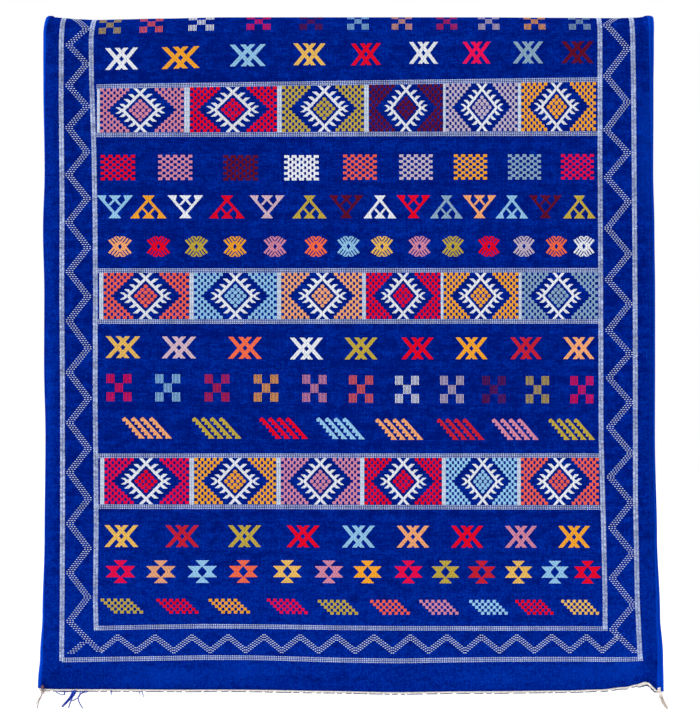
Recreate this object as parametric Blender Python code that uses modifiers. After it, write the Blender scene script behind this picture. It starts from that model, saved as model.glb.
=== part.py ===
"""A handwoven blanket hung over a bar, its right side outwards on both legs.

Metres, +Z up. The origin is on the underside of the cloth at the top of the fold, where the
blanket bears on what carries it. X runs along the fold, and the long front leg faces -Y.
"""

import math
from collections import namedtuple

import bmesh
import bpy
from mathutils import Vector

# The cloth as it came off the loom
HALF_WIDTH = 0.750
CLOTH_LENGTH = 2.334
CLOTH_THICKNESS = 0.003
SELVEDGE_THICKNESS = 0.005
SELVEDGE_WIDTH = 0.011

# How it hangs
FRONT_DROP = 1.612
FOLD_RADIUS = 0.047
CURL_STRIP = 0.045
HEM_FADE = 0.13
FRONT_WAVE = 0.006
BACK_WAVE = 0.005

# Braided warp ends and loose yarn
BRAID_RADIUS = 0.003
BRAID_INSET = 0.003
SEAT_GAP = 0.0003
YARN_POINTS = 7

# How finely the solids are divided
COLUMNS = 34
FRONT_ROWS = 22
FOLD_ROWS = 10
BACK_ROWS = 10

MIDDLE_RADIUS = FOLD_RADIUS + CLOTH_THICKNESS / 2
FRONT_LEG = FRONT_DROP - FOLD_RADIUS
FOLD_LENGTH = math.pi * MIDDLE_RADIUS
BACK_START = FRONT_LEG + FOLD_LENGTH
BACK_LEG = CLOTH_LENGTH - BACK_START

# Along the cloth from the front hem: the half widths on either side of the middle warp, and how
# far each selvedge has rolled back towards the underside, in degrees. The roll opens at the
# hems and over the fold, where the cloth bends the other way.
Edge = namedtuple("Edge", "along left_half right_half left_curl right_curl")
EDGES = (
    Edge(0.000, 0.7500, 0.7510, 0, 0),
    Edge(0.070, 0.7500, 0.7505, 42, 20),
    Edge(0.170, 0.7500, 0.7490, 64, 52),
    Edge(0.360, 0.7500, 0.7465, 84, 70),
    Edge(0.600, 0.7495, 0.7430, 90, 80),
    Edge(0.950, 0.7490, 0.7410, 90, 78),
    Edge(1.250, 0.7480, 0.7370, 84, 76),
    Edge(1.450, 0.7450, 0.7335, 62, 56),
    Edge(1.565, 0.7420, 0.7300, 40, 36),
    Edge(1.641, 0.7400, 0.7285, 20, 20),
    Edge(1.720, 0.7420, 0.7310, 40, 36),
    Edge(1.950, 0.7460, 0.7380, 70, 70),
    Edge(2.200, 0.7480, 0.7440, 54, 54),
    Edge(2.334, 0.7500, 0.7480, 0, 0),
)

# Across the cloth from its middle: how far the crest of the fold stands proud of a true
# cylinder. It sags beside each selvedge, which is stiffer and stands up.
Crest = namedtuple("Crest", "across rise")
CREST = (
    Crest(-0.740, 0.003),
    Crest(-0.722, 0.006),
    Crest(-0.700, -0.001),
    Crest(-0.660, -0.005),
    Crest(-0.612, -0.009),
    Crest(-0.560, -0.005),
    Crest(-0.460, -0.003),
    Crest(-0.300, 0.000),
    Crest(0.300, 0.000),
    Crest(0.480, -0.001),
    Crest(0.640, -0.002),
    Crest(0.690, -0.001),
    Crest(0.710, 0.005),
    Crest(0.729, 0.000),
)

# Across the cloth from its middle: how far the front hem is drawn up.
Hem = namedtuple("Hem", "across lift")
HEM = (
    Hem(-0.750, 0.001),
    Hem(-0.500, 0.001),
    Hem(-0.050, -0.001),
    Hem(0.120, -0.004),
    Hem(0.300, 0.000),
    Hem(0.560, 0.000),
    Hem(0.620, 0.007),
    Hem(0.670, 0.011),
    Hem(0.704, 0.019),
    Hem(0.724, 0.003),
    Hem(0.736, 0.000),
)

# Loose ends, as offsets across and down from the knot that holds them
Strand = namedtuple("Strand", "bend_across bend_down tip_across tip_down forward radius")
LEFT_TAIL = (
    Strand(-0.004, 0.024, -0.014, 0.047, 0.002, 0.0016),
    Strand(-0.006, 0.022, -0.020, 0.039, -0.003, 0.0014),
)
RIGHT_TAIL = (
    Strand(0.004, 0.020, 0.016, 0.040, 0.000, 0.0019),
    Strand(0.006, 0.018, 0.013, 0.036, 0.003, 0.0015),
    Strand(0.002, 0.020, 0.018, 0.033, -0.003, 0.0014),
)
LOOSE_YARN = (
    Strand(-0.010, 0.016, -0.028, 0.035, 0.002, 0.0013),
    Strand(-0.005, 0.020, -0.018, 0.032, -0.002, 0.0011),
    Strand(-0.002, 0.020, -0.009, 0.037, 0.003, 0.0012),
    Strand(0.014, 0.016, 0.019, 0.037, -0.001, 0.0012),
    Strand(0.020, 0.008, 0.034, 0.004, 0.002, 0.0009),
    Strand(-0.022, 0.008, -0.036, 0.003, 0.002, 0.0009),
)

# Where the knots sit along the front hem, from the middle
LEFT_KNOT_ACROSS = -0.739
RIGHT_KNOT_ACROSS = 0.742
LOOSE_YARN_ACROSS = -0.663
KNOT_SIZE = Vector((0.010, 0.009, 0.011))
LOOSE_ROOT_SIZE = Vector((0.040, 0.005, 0.005))


def clear_scene():
    for obj in list(bpy.data.objects):
        bpy.data.objects.remove(obj, do_unlink=True)


def part_collection():
    collection = bpy.data.collections.new("handwoven_blanket")
    bpy.context.scene.collection.children.link(collection)
    return collection


def finish(name, colour, roughness):
    """A Principled material without metal."""
    material = bpy.data.materials.new(name)
    material.use_nodes = True
    shader = material.node_tree.nodes["Principled BSDF"]
    shader.inputs["Base Color"].default_value = (*colour, 1.0)
    shader.inputs["Roughness"].default_value = roughness
    shader.inputs["Metallic"].default_value = 0.0
    return material


def ease(share):
    """0 to 1 with level ends."""
    share = min(1.0, max(0.0, share))
    return share * share * (3.0 - 2.0 * share)


def read_table(rows, column, at):
    """The column's value at a place in the table's first column, eased between two rows."""
    if at <= rows[0][0]:
        return getattr(rows[0], column)
    for low, high in zip(rows, rows[1:]):
        if at <= high[0]:
            share = ease((at - low[0]) / (high[0] - low[0]))
            return getattr(low, column) * (1 - share) + getattr(high, column) * share
    return getattr(rows[-1], column)


def profile(along):
    """Depth, height and the outward direction of the hanging cloth, this far up from the hem."""
    if along <= FRONT_LEG:
        return -MIDDLE_RADIUS, along - FRONT_DROP, -1.0, 0.0
    if along >= BACK_START:
        return MIDDLE_RADIUS, BACK_START - along - FOLD_RADIUS, 1.0, 0.0
    turn = (along - FRONT_LEG) / MIDDLE_RADIUS
    out_y, out_z = -math.cos(turn), math.sin(turn)
    return MIDDLE_RADIUS * out_y, MIDDLE_RADIUS * out_z - FOLD_RADIUS, out_y, out_z


def wave(across, along):
    """How far a leg's soft waves stand out, growing from the fold to the hem."""
    if along <= FRONT_LEG:
        free = 1.0 - along / FRONT_LEG
        swing = 0.6 * math.sin(across * 9.2 + 0.6) + 0.4 * math.sin(across * 16.4 + 2.0)
        return FRONT_WAVE * free * swing
    free = max(0.0, (along - BACK_START) / BACK_LEG)
    swing = 0.7 * math.sin(across * 8.1 + 2.4) + 0.3 * math.sin(across * 14.3)
    return BACK_WAVE * free * swing


def cloth_point(side, along):
    """A point of the cloth's middle surface. side is -1 at the left selvedge and 1 at the right."""
    hand = "left" if side < 0 else "right"
    half = read_table(EDGES, hand + "_half", along)
    curl = math.radians(read_table(EDGES, hand + "_curl", along))
    across = abs(side) * half
    into_strip = max(0.0, across - (half - CURL_STRIP))
    inward = 0.0
    if into_strip > 0 and curl > 0:
        bend = curl / CURL_STRIP
        across = half - CURL_STRIP + math.sin(bend * into_strip) / bend
        inward = (1 - math.cos(bend * into_strip)) / bend
    across = math.copysign(across, side)
    flat_across = side * half
    y, z, out_y, out_z = profile(along)
    out = wave(flat_across, along) - inward
    out += read_table(CREST, "rise", flat_across) * max(0.0, out_z)
    lift = read_table(HEM, "lift", flat_across) * max(0.0, 1 - along / HEM_FADE) ** 2
    return Vector((across, y + out_y * out, z + out_z * out + lift))


def closer_at_ends(count):
    """count + 1 shares from 0 to 1 that crowd towards both ends."""
    return [0.5 - 0.5 * math.cos(math.pi * step / count) for step in range(count + 1)]


def column_sides():
    """Sides from -1 to 1, closest together at the selvedges."""
    return [math.sin(math.pi / 2 * (2 * step / COLUMNS - 1)) for step in range(COLUMNS + 1)]


def row_stations():
    """Distances along the cloth, closest together at both hems and beside the fold."""
    front = [FRONT_LEG * share for share in closer_at_ends(FRONT_ROWS)]
    fold = [FRONT_LEG + FOLD_LENGTH * step / FOLD_ROWS for step in range(1, FOLD_ROWS)]
    back = [BACK_START + BACK_LEG * share for share in closer_at_ends(BACK_ROWS)]
    return front + fold + back


def make_blanket(collection, material):
    """The whole cloth, one sheet over the bar, thicker along its selvedges."""
    sides, rows = column_sides(), row_stations()
    shape = bmesh.new()
    bmesh.ops.create_grid(shape, x_segments=len(sides) - 1, y_segments=len(rows) - 1, size=1.0)
    edge_points = []
    for vertex in shape.verts:
        column = round((vertex.co.x + 1) / 2 * (len(sides) - 1))
        row = round((vertex.co.y + 1) / 2 * (len(rows) - 1))
        side = sides[column]
        vertex.co = cloth_point(side, rows[row])
        if (1 - abs(side)) * HALF_WIDTH < SELVEDGE_WIDTH:
            edge_points.append(vertex.index)
    bmesh.ops.recalc_face_normals(shape, faces=shape.faces)
    mesh = bpy.data.meshes.new("blanket")
    shape.to_mesh(mesh)
    shape.free()
    mesh.shade_smooth()
    blanket = bpy.data.objects.new("blanket", mesh)
    collection.objects.link(blanket)
    selvedges = blanket.vertex_groups.new(name="selvedges")
    selvedges.add(edge_points, 1.0, "REPLACE")
    body = blanket.modifiers.new("cloth thickness", "SOLIDIFY")
    body.thickness = SELVEDGE_THICKNESS
    body.offset = 0.0
    body.vertex_group = selvedges.name
    body.thickness_vertex_group = CLOTH_THICKNESS / SELVEDGE_THICKNESS
    mesh.materials.append(material)
    return blanket


def hem_line(along):
    """The cloth's middle line along one hem, ending a little short of the selvedges."""
    end = 1 - BRAID_INSET / HALF_WIDTH
    return [cloth_point(max(-end, min(end, side)), along) for side in column_sides()]


def below(line, distance):
    """The line moved down square to itself, so that it stays this far away also where it slopes."""
    moved = []
    for index, point in enumerate(line):
        before = line[max(0, index - 1)]
        after = line[min(len(line) - 1, index + 1)]
        normals = []
        for start, end in ((before, point), (point, after)):
            run = Vector((end.x - start.x, 0, end.z - start.z))
            if run.length > 0:
                run.normalize()
                normals.append(Vector((run.z, 0, -run.x)))
        first, last = normals[0], normals[-1]
        moved.append(point + (first + last) * (distance / (1 + first.dot(last))))
    return moved


def tube(name, points, radii, sides_per_quarter):
    """A capped tube through the points. It isn't linked, so the caller says where it goes."""
    curve = bpy.data.curves.new(name, "CURVE")
    curve.dimensions = "3D"
    curve.bevel_depth = 1.0
    curve.bevel_resolution = sides_per_quarter - 1
    curve.use_fill_caps = True
    spline = curve.splines.new("POLY")
    spline.points.add(len(points) - 1)
    for target, point, radius in zip(spline.points, points, radii):
        target.co = (*point, 1.0)
        target.radius = radius
    return bpy.data.objects.new(name, curve)


def make_braid(name, along, collection, material):
    """The twined warp ends that lock a hem: a cord just under the cloth's last row."""
    line = below(hem_line(along), BRAID_RADIUS + SEAT_GAP)
    braid = tube(name, line, [BRAID_RADIUS] * len(line), 2)
    braid.data.materials.append(material)
    collection.objects.link(braid)
    return braid


def meshed(curve_object, collection):
    """The curve as a closed mesh object, its caps welded on."""
    collection.objects.link(curve_object)
    bpy.context.view_layer.update()
    graph = bpy.context.evaluated_depsgraph_get()
    mesh = bpy.data.meshes.new_from_object(curve_object.evaluated_get(graph))
    shape = bmesh.new()
    shape.from_mesh(mesh)
    bmesh.ops.remove_doubles(shape, verts=shape.verts, dist=0.00001)
    bmesh.ops.recalc_face_normals(shape, faces=shape.faces)
    shape.to_mesh(mesh)
    shape.free()
    made = bpy.data.objects.new(curve_object.name, mesh)
    made.matrix_world = curve_object.matrix_world
    bpy.data.objects.remove(curve_object, do_unlink=True)
    collection.objects.link(made)
    return made


def strand_points(knot, strand):
    """Points down one loose end, from inside the knot through its bend to its tip."""
    start = Vector((0, 0, 0))
    bend = Vector((strand.bend_across, -strand.forward, -strand.bend_down))
    tip = Vector((strand.tip_across, -2 * strand.forward, -strand.tip_down))
    points = []
    for step in range(YARN_POINTS):
        share = step / (YARN_POINTS - 1)
        early, late = start.lerp(bend, share), bend.lerp(tip, share)
        points.append(knot + early.lerp(late, share))
    return points


def make_tassel(name, knot, size, strands, collection, helpers, material):
    """A knot with its loose ends grown into it, one solid."""
    shape = bmesh.new()
    bmesh.ops.create_uvsphere(shape, u_segments=10, v_segments=6, radius=0.5)
    bmesh.ops.scale(shape, verts=shape.verts, vec=size)
    bmesh.ops.translate(shape, verts=shape.verts, vec=knot)
    mesh = bpy.data.meshes.new(name)
    shape.to_mesh(mesh)
    shape.free()
    mesh.shade_smooth()
    mesh.materials.append(material)
    tassel = bpy.data.objects.new(name, mesh)
    collection.objects.link(tassel)
    for number, strand in enumerate(strands, start=1):
        taper = [strand.radius * (1 - 0.5 * step / (YARN_POINTS - 1)) for step in range(YARN_POINTS)]
        yarn = meshed(tube(f"{name}_end_{number}", strand_points(knot, strand), taper, 1), helpers)
        yarn.hide_render = True
        yarn.display_type = "WIRE"
        join = tassel.modifiers.new(f"end {number}", "BOOLEAN")
        join.operation = "UNION"
        join.object = yarn
    return tassel


def under_front_braid(across, height):
    """The middle of a knot this high that hangs just under the front braid."""
    line = below(hem_line(0.0), 2 * BRAID_RADIUS + 2 * SEAT_GAP + height / 2)
    nearest = min(line, key=lambda point: abs(point.x - across))
    lowest = min(point.z for point in line if abs(point.x - across) < height + 0.02)
    return Vector((across, nearest.y, min(nearest.z, lowest)))


def main():
    clear_scene()
    collection = part_collection()
    helpers = bpy.data.collections.new("yarn ends before joining")
    bpy.context.scene.collection.children.link(helpers)
    wool = finish("blue wool", (0.004, 0.022, 0.30), 0.9)
    warp = finish("undyed warp", (0.66, 0.58, 0.48), 0.85)
    make_blanket(collection, wool)
    make_braid("front_braid", 0.0, collection, warp)
    make_braid("back_braid", CLOTH_LENGTH, collection, warp)
    left_knot = under_front_braid(LEFT_KNOT_ACROSS, KNOT_SIZE.z)
    make_tassel("left_corner_tail", left_knot, KNOT_SIZE, LEFT_TAIL, collection, helpers, warp)
    right_knot = under_front_braid(RIGHT_KNOT_ACROSS, KNOT_SIZE.z)
    make_tassel("right_corner_tail", right_knot, KNOT_SIZE, RIGHT_TAIL, collection, helpers, warp)
    loose_root = under_front_braid(LOOSE_YARN_ACROSS, LOOSE_ROOT_SIZE.z)
    make_tassel("loose_yarn", loose_root, LOOSE_ROOT_SIZE, LOOSE_YARN, collection, helpers, wool)


main()
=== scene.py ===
"""A handwoven wool blanket hung over a bar: its cloth, brocaded rows, borders and loose ends.

Metres, +Z up. The origin is on the underside of the cloth at the top of the fold. X runs along
the fold, and the long front leg faces -Y. A place on the cloth is given by how far across it
lies from the middle warp and how far along from the front hem.
"""

import math
from collections import namedtuple

import bmesh
import bpy
import numpy as np
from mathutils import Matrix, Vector


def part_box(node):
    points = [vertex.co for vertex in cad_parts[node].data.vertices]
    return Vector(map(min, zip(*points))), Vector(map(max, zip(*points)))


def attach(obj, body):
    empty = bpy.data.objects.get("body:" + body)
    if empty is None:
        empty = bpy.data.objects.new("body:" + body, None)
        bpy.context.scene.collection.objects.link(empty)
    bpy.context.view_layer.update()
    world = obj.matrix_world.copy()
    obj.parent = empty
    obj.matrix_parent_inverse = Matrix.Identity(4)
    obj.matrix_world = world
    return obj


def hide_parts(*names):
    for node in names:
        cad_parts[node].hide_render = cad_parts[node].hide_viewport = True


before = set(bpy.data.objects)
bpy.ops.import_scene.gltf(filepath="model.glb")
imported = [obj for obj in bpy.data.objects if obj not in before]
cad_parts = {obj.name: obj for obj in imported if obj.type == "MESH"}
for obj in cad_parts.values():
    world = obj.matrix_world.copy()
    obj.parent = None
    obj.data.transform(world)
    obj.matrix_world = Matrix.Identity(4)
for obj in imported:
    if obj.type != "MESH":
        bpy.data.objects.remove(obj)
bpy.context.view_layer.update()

MM = 0.001

# The cloth as it came off the loom, and how it hangs
HALF_WIDTH = 0.750
CLOTH_LENGTH = 2.334
CLOTH_THICKNESS = 0.003
SELVEDGE_THICKNESS = 0.0048
FRONT_DROP = 1.612
FOLD_RADIUS = 0.047
CURL_STRIP = 0.045
LEAST_CURL = 0.01
HEM_FADE = 0.13
FRONT_WAVE = 0.006
BACK_WAVE = 0.005
MIDDLE_RADIUS = FOLD_RADIUS + CLOTH_THICKNESS / 2
FRONT_LEG = FRONT_DROP - FOLD_RADIUS
BACK_START = FRONT_LEG + math.pi * MIDDLE_RADIUS
BACK_LEG = CLOTH_LENGTH - BACK_START

# Waves across each leg: a share of its depth, radians for each metre, and where they start
Swing = namedtuple("Swing", "share turn start")
FRONT_SWINGS = (Swing(0.6, 9.2, 0.6), Swing(0.4, 16.4, 2.0))
BACK_SWINGS = (Swing(0.7, 8.1, 2.4), Swing(0.3, 14.3, 0.0))

# The photograph's scale and framing
PHOTO_WIDTH = 700
PHOTO_HEIGHT = 726
PHOTO_PIXEL = 0.0024
MIDDLE_PHOTO_X = 350.5
HEM_PHOTO_Y = 687.5
MIRROR_PHOTO_Y = 201.25
CAMERA_DISTANCE = 6.0
FRONT_FACE_Y = -0.05
SENSOR = 36.0

# How finely the cloth is divided
CLOTH_COLUMNS = 112
FRONT_ROWS = 200
FOLD_ROWS = 24
BACK_ROWS = 52
# How much of the columns' spacing is even. The rest sets them closer towards the selvedges.
EVEN_COLUMNS = 0.42

# Brocading yarn: the height of one pick, the longest float, and how it stands on the cloth
PICK = 1.95
LONGEST_FLOAT = 8.4
SHORTEST_FLOAT = 1.0
FLOAT_SUNK = 0.35
FLOAT_PROUD = 0.60
FLOAT_LENGTHEN = 1.05
FLOAT_RIDGE = 0.72
PICK_OVERLAP = 1.5
HAND_WOBBLE = 0.35

# Twined warp ends and loose yarns
PLY_RADIUS = 0.00145
PLY_TURN = 0.0105
PLY_OFFSET = 0.85
HEM_STEP = 0.0015
HEM_REACH = 0.7465
FAR_HEM_REACH = 0.7340
HEM_CORD_DROP = 0.0026
THREAD_RADIUS = 0.0015
THREAD_DROP = HEM_CORD_DROP + PLY_RADIUS * 1.7
THREAD_RUN = (8, 30)
THREAD_GAP = (2, 7)

# Along the cloth from the front hem: the half widths on either side of the middle warp, and how
# far each selvedge has rolled back towards the underside, in degrees.
Edge = namedtuple("Edge", "along left_half right_half left_curl right_curl")
EDGES = (
    Edge(0.000, 0.7500, 0.7510, 0, 0),
    Edge(0.070, 0.7495, 0.7510, 42, 20),
    Edge(0.170, 0.7490, 0.7495, 64, 52),
    Edge(0.360, 0.7500, 0.7470, 84, 70),
    Edge(0.600, 0.7495, 0.7450, 90, 80),
    Edge(0.780, 0.7530, 0.7455, 90, 80),
    Edge(0.950, 0.7525, 0.7450, 90, 78),
    Edge(1.100, 0.7550, 0.7435, 88, 78),
    Edge(1.240, 0.7500, 0.7400, 84, 76),
    Edge(1.450, 0.7465, 0.7350, 62, 56),
    Edge(1.565, 0.7415, 0.7310, 40, 32),
    Edge(1.641, 0.7340, 0.7305, 20, 12),
    Edge(1.720, 0.7420, 0.7330, 40, 36),
    Edge(1.950, 0.7460, 0.7380, 70, 70),
    Edge(2.200, 0.7460, 0.7400, 62, 62),
    Edge(2.334, 0.7430, 0.7380, 30, 30),
)

# Across the cloth: how far the crest of the fold stands proud of a true cylinder
Crest = namedtuple("Crest", "across rise")
CREST = (
    Crest(-0.734, 0.0085),
    Crest(-0.728, 0.0090),
    Crest(-0.721, 0.0070),
    Crest(-0.714, 0.0022),
    Crest(-0.705, 0.0002),
    Crest(-0.692, -0.0020),
    Crest(-0.660, -0.0044),
    Crest(-0.612, -0.0060),
    Crest(-0.560, -0.0050),
    Crest(-0.460, -0.0030),
    Crest(-0.300, 0.0000),
    Crest(0.300, 0.0000),
    Crest(0.480, -0.0010),
    Crest(0.640, -0.0020),
    Crest(0.692, -0.0010),
    Crest(0.704, 0.0010),
    Crest(0.714, 0.0056),
    Crest(0.722, 0.0068),
    Crest(0.731, 0.0062),
)

# Across the cloth: how far the front hem is drawn up
Hem = namedtuple("Hem", "across lift")
HEM = (
    Hem(-0.750, -0.001),
    Hem(-0.735, -0.003),
    Hem(-0.690, -0.004),
    Hem(-0.560, -0.004),
    Hem(-0.360, -0.005),
    Hem(-0.050, -0.008),
    Hem(0.120, -0.011),
    Hem(0.300, -0.009),
    Hem(0.520, -0.008),
    Hem(0.599, -0.005),
    Hem(0.659, 0.001),
    Hem(0.686, 0.0075),
    Hem(0.703, 0.0140),
    Hem(0.711, 0.0145),
    Hem(0.716, 0.0110),
    Hem(0.722, 0.0020),
    Hem(0.730, -0.0070),
    Hem(0.739, -0.0090),
)

# From a selvedge inwards: the two cords of doubled warps and the grooves beside them. share is of
# the thickness that the selvedge gains over the cloth. A shade is painted light: above 0 painted shade
# that darkens the wool, below 0 a painted highlight that pales it, as the rolled cords and grooves catch the
# light.
Cord = namedtuple("Cord", "inwards share left_shade right_shade")
SELVEDGE_CORDS = (
    Cord(0.0000, 0.60, -0.6, -0.8),
    Cord(0.0025, 1.00, -0.8, -1.0),
    Cord(0.0055, 1.00, -0.9, -0.5),
    Cord(0.0080, 0.45, -0.4, -0.3),
    Cord(0.0105, 0.80, 0.05, -0.8),
    Cord(0.0140, 0.75, 0.05, -0.5),
    Cord(0.0168, 0.05, 0.10, 0.0),
    Cord(0.0190, 0.05, 0.05, -0.1),
    Cord(0.0215, 0.15, 0.0, -0.1),
    Cord(0.0245, 0.15, 0.0, -0.1),
    Cord(0.0300, 0.12, 0.0, 0.0),
)
SELVEDGE_COLUMNS = (
    0.0, 0.0010, 0.0025, 0.0040, 0.0055, 0.0068, 0.0080, 0.0092, 0.0105,
    0.0122, 0.0140, 0.0155, 0.0168, 0.0178, 0.0190, 0.0215, 0.0245, 0.0300,
)

# Soft creases and puckers in the hanging cloth, in metres: a ridge stands out, a trough is below 0
Crease = namedtuple("Crease", "across along half_across half_along height")
CREASES = (
    Crease(-0.56, 0.10, 0.070, 0.060, -0.0014),
    Crease(-0.30, 0.035, 0.110, 0.030, 0.0012),
    Crease(0.08, 0.060, 0.140, 0.040, -0.0015),
    Crease(0.40, 0.050, 0.100, 0.050, 0.0012),
    Crease(0.655, 0.030, 0.030, 0.090, -0.0030),
    Crease(0.705, 0.030, 0.016, 0.050, 0.0030),
    Crease(0.731, 0.010, 0.007, 0.120, -0.0030),
    Crease(-0.722, 1.583, 0.006, 0.018, -0.0025),
    Crease(-0.690, 0.000, 0.040, 0.014, -0.0020),
    Crease(-0.65, 0.42, 0.030, 0.200, -0.0012),
    Crease(0.64, 0.62, 0.026, 0.240, -0.0013),
    Crease(-0.20, 0.545, 0.320, 0.014, 0.0010),
    Crease(0.30, 0.425, 0.280, 0.013, -0.0009),
    Crease(-0.25, 0.995, 0.300, 0.014, -0.0010),
    Crease(0.22, 0.872, 0.340, 0.013, 0.0009),
    Crease(0.05, 1.330, 0.360, 0.015, 0.0011),
    Crease(-0.61, 1.470, 0.050, 0.120, -0.0026),
    Crease(0.52, 1.480, 0.070, 0.090, -0.0014),
    Crease(0.10, 1.505, 0.090, 0.070, 0.0013),
    Crease(-0.33, 1.500, 0.080, 0.080, -0.0011),
    Crease(0.69, 1.400, 0.020, 0.200, 0.0014),
    Crease(-0.28, 2.120, 0.160, 0.200, 0.0020),
    Crease(0.34, 2.180, 0.140, 0.150, -0.0018),
)

# Where painted shade darkens the ground wool, in the hollows and dips of the cloth, or below 0 where painted
# light pales it
Shade = namedtuple("Shade", "across along half_across half_along shade")
PAINTED_SHADES = (
    Shade(-0.732, 0.006, 0.012, 0.020, 0.45),
    Shade(-0.705, 0.030, 0.022, 0.030, 0.30),
    Shade(-0.640, 0.022, 0.050, 0.020, 0.20),
    Shade(0.722, 0.012, 0.014, 0.022, 0.35),
    Shade(0.736, 0.080, 0.004, 0.036, 0.35),
    Shade(0.660, 0.050, 0.040, 0.030, -0.25),
    Shade(0.560, 0.040, 0.060, 0.020, -0.20),
    Shade(-0.450, 0.030, 0.090, 0.020, -0.20),
    Shade(-0.250, 0.045, 0.070, 0.022, -0.20),
    Shade(-0.100, 0.020, 0.060, 0.010, 0.15),
    Shade(0.130, 0.050, 0.050, 0.030, 0.15),
    Shade(0.350, 0.030, 0.080, 0.018, -0.15),
    Shade(-0.705, 1.540, 0.022, 0.060, 0.25),
    Shade(-0.722, 1.583, 0.010, 0.016, 0.45),
    Shade(0.715, 1.500, 0.014, 0.080, 0.20),
    Shade(-0.700, 1.360, 0.016, 0.070, 0.35),
    Shade(-0.725, 0.680, 0.012, 0.160, -0.15),
    Shade(0.705, 1.300, 0.018, 0.150, -0.20),
    Shade(0.690, 0.900, 0.012, 0.120, 0.10),
)


def ease(share):
    """0 to 1 with level ends."""
    share = np.clip(share, 0.0, 1.0)
    return share * share * (3.0 - 2.0 * share)


def read_table(rows, column, at):
    """The column's values at places in the table's first column, eased between two rows."""
    places = np.array([row[0] for row in rows])
    values = np.array([getattr(row, column) for row in rows], float)
    at = np.clip(at, places[0], places[-1])
    high = np.clip(np.searchsorted(places, at), 1, len(rows) - 1)
    share = ease((at - places[high - 1]) / (places[high] - places[high - 1]))
    return values[high - 1] * (1 - share) + values[high] * share


def profile(along):
    """Depth, height and the outward direction of the hanging cloth, this far up from the hem."""
    turn = np.clip((along - FRONT_LEG) / MIDDLE_RADIUS, 0.0, math.pi)
    out_y, out_z = -np.cos(turn), np.sin(turn)
    hanging = np.minimum(along - FRONT_LEG, 0.0) + np.minimum(BACK_START - along, 0.0)
    return MIDDLE_RADIUS * out_y, MIDDLE_RADIUS * out_z - FOLD_RADIUS + hanging, out_y, out_z


def swing(across, swings):
    """Upright waves laid over each other, from -1 to 1."""
    return sum(part.share * np.sin(across * part.turn + part.start) for part in swings)


def wave(across, along):
    """How far a leg's soft waves stand out, growing from the fold to the hem."""
    front = FRONT_WAVE * np.clip(1.0 - along / FRONT_LEG, 0.0, 1.0)
    back = BACK_WAVE * np.clip((along - BACK_START) / BACK_LEG, 0.0, 1.0)
    return front * swing(across, FRONT_SWINGS) + back * swing(across, BACK_SWINGS)


def soft_spot(spot, across, along):
    """1 in the middle of a spot, fading softly over its half sizes."""
    off_across = (across - spot.across) / spot.half_across
    off_along = (along - spot.along) / spot.half_along
    return np.exp(-(off_across**2 + off_along**2))


def creases(across, along):
    """How far the hand-placed creases stand out."""
    return sum(crease.height * soft_spot(crease, across, along) for crease in CREASES)


def painted_ground_light(across, along, inwards):
    """How dark the painted shade makes the ground at places on the cloth, or below 0 how pale its painted
    light makes it.
    """
    left_shade = read_table(SELVEDGE_CORDS, "left_shade", inwards)
    right_shade = read_table(SELVEDGE_CORDS, "right_shade", inwards)
    shade = np.where(across < 0, left_shade, right_shade)
    for spot in PAINTED_SHADES:
        shade += spot.shade * soft_spot(spot, across, along)
    return shade


def half_widths(across, along):
    """The cloth's half width on the side that each place lies on."""
    left = read_table(EDGES, "left_half", along)
    right = read_table(EDGES, "right_half", along)
    return np.where(across < 0, left, right)


def middle_surface(across, along):
    """Points of the cloth's middle surface, an N x 3 array."""
    half = half_widths(across, along)
    left_curl = read_table(EDGES, "left_curl", along)
    curl = np.where(across < 0, left_curl, read_table(EDGES, "right_curl", along))
    bend = np.radians(np.maximum(curl, LEAST_CURL)) / CURL_STRIP
    into_strip = np.maximum(0.0, np.abs(across) - (half - CURL_STRIP))
    reach = np.minimum(np.abs(across), half - CURL_STRIP) + np.sin(bend * into_strip) / bend
    inward = (1 - np.cos(bend * into_strip)) / bend
    y, z, out_y, out_z = profile(along)
    out = wave(across, along) + creases(across, along) - inward
    out += read_table(CREST, "rise", across) * np.maximum(0.0, out_z)
    lift = read_table(HEM, "lift", across) * np.maximum(0.0, 1 - along / HEM_FADE) ** 2
    return np.column_stack((np.copysign(reach, across), y + out_y * out, z + out_z * out + lift))


def on_cloth(across, along, height):
    """Points this far in front of the cloth's middle surface, square to it."""
    step = 0.0005
    run_across = middle_surface(across + step, along) - middle_surface(across - step, along)
    run_along = middle_surface(across, along + step) - middle_surface(across, along - step)
    normal = np.cross(run_across, run_along)
    normal /= np.linalg.norm(normal, axis=1)[:, None]
    return middle_surface(across, along) + normal * np.asarray(height)[:, None]


def photo_across(photo_x):
    """How far across the cloth a column of the photograph lies."""
    return (np.asarray(photo_x, float) - MIDDLE_PHOTO_X) * PHOTO_PIXEL


def photo_along(photo_y):
    """How far along the cloth a row of the photograph lies, as if the cloth were all flat."""
    return (HEM_PHOTO_Y - np.asarray(photo_y, float)) * PHOTO_PIXEL


def far_y(photo_y):
    """The row on the hidden back leg that matches this row of the photograph."""
    return 2 * MIRROR_PHOTO_Y - photo_y


# Materials

def linear(code):
    """An sRGB hex colour as linear red, green, blue and alpha."""
    parts = [int(code[start:start + 2], 16) / 255 for start in (1, 3, 5)]
    return (*(part / 12.92 if part <= 0.04045 else ((part + 0.055) / 1.055) ** 2.4 for part in parts), 1.0)


def new_material(name):
    """A material with only its output, and its Principled shader."""
    material = bpy.data.materials.new(name)
    material.use_nodes = True
    return material, material.node_tree.nodes["Principled BSDF"]


def add(owner, kind, sockets, **settings):
    """Adds a node. sockets gives each named or numbered input a value, or an output to link."""
    node = owner.node_tree.nodes.new(kind)
    for name, value in settings.items():
        setattr(node, name, value)
    connect(owner, node, sockets)
    return node


def connect(owner, node, sockets):
    """Gives inputs of a node their values and links."""
    for name, value in sockets.items():
        if isinstance(value, bpy.types.NodeSocket):
            owner.node_tree.links.new(value, node.inputs[name])
        else:
            node.inputs[name].default_value = value


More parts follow.
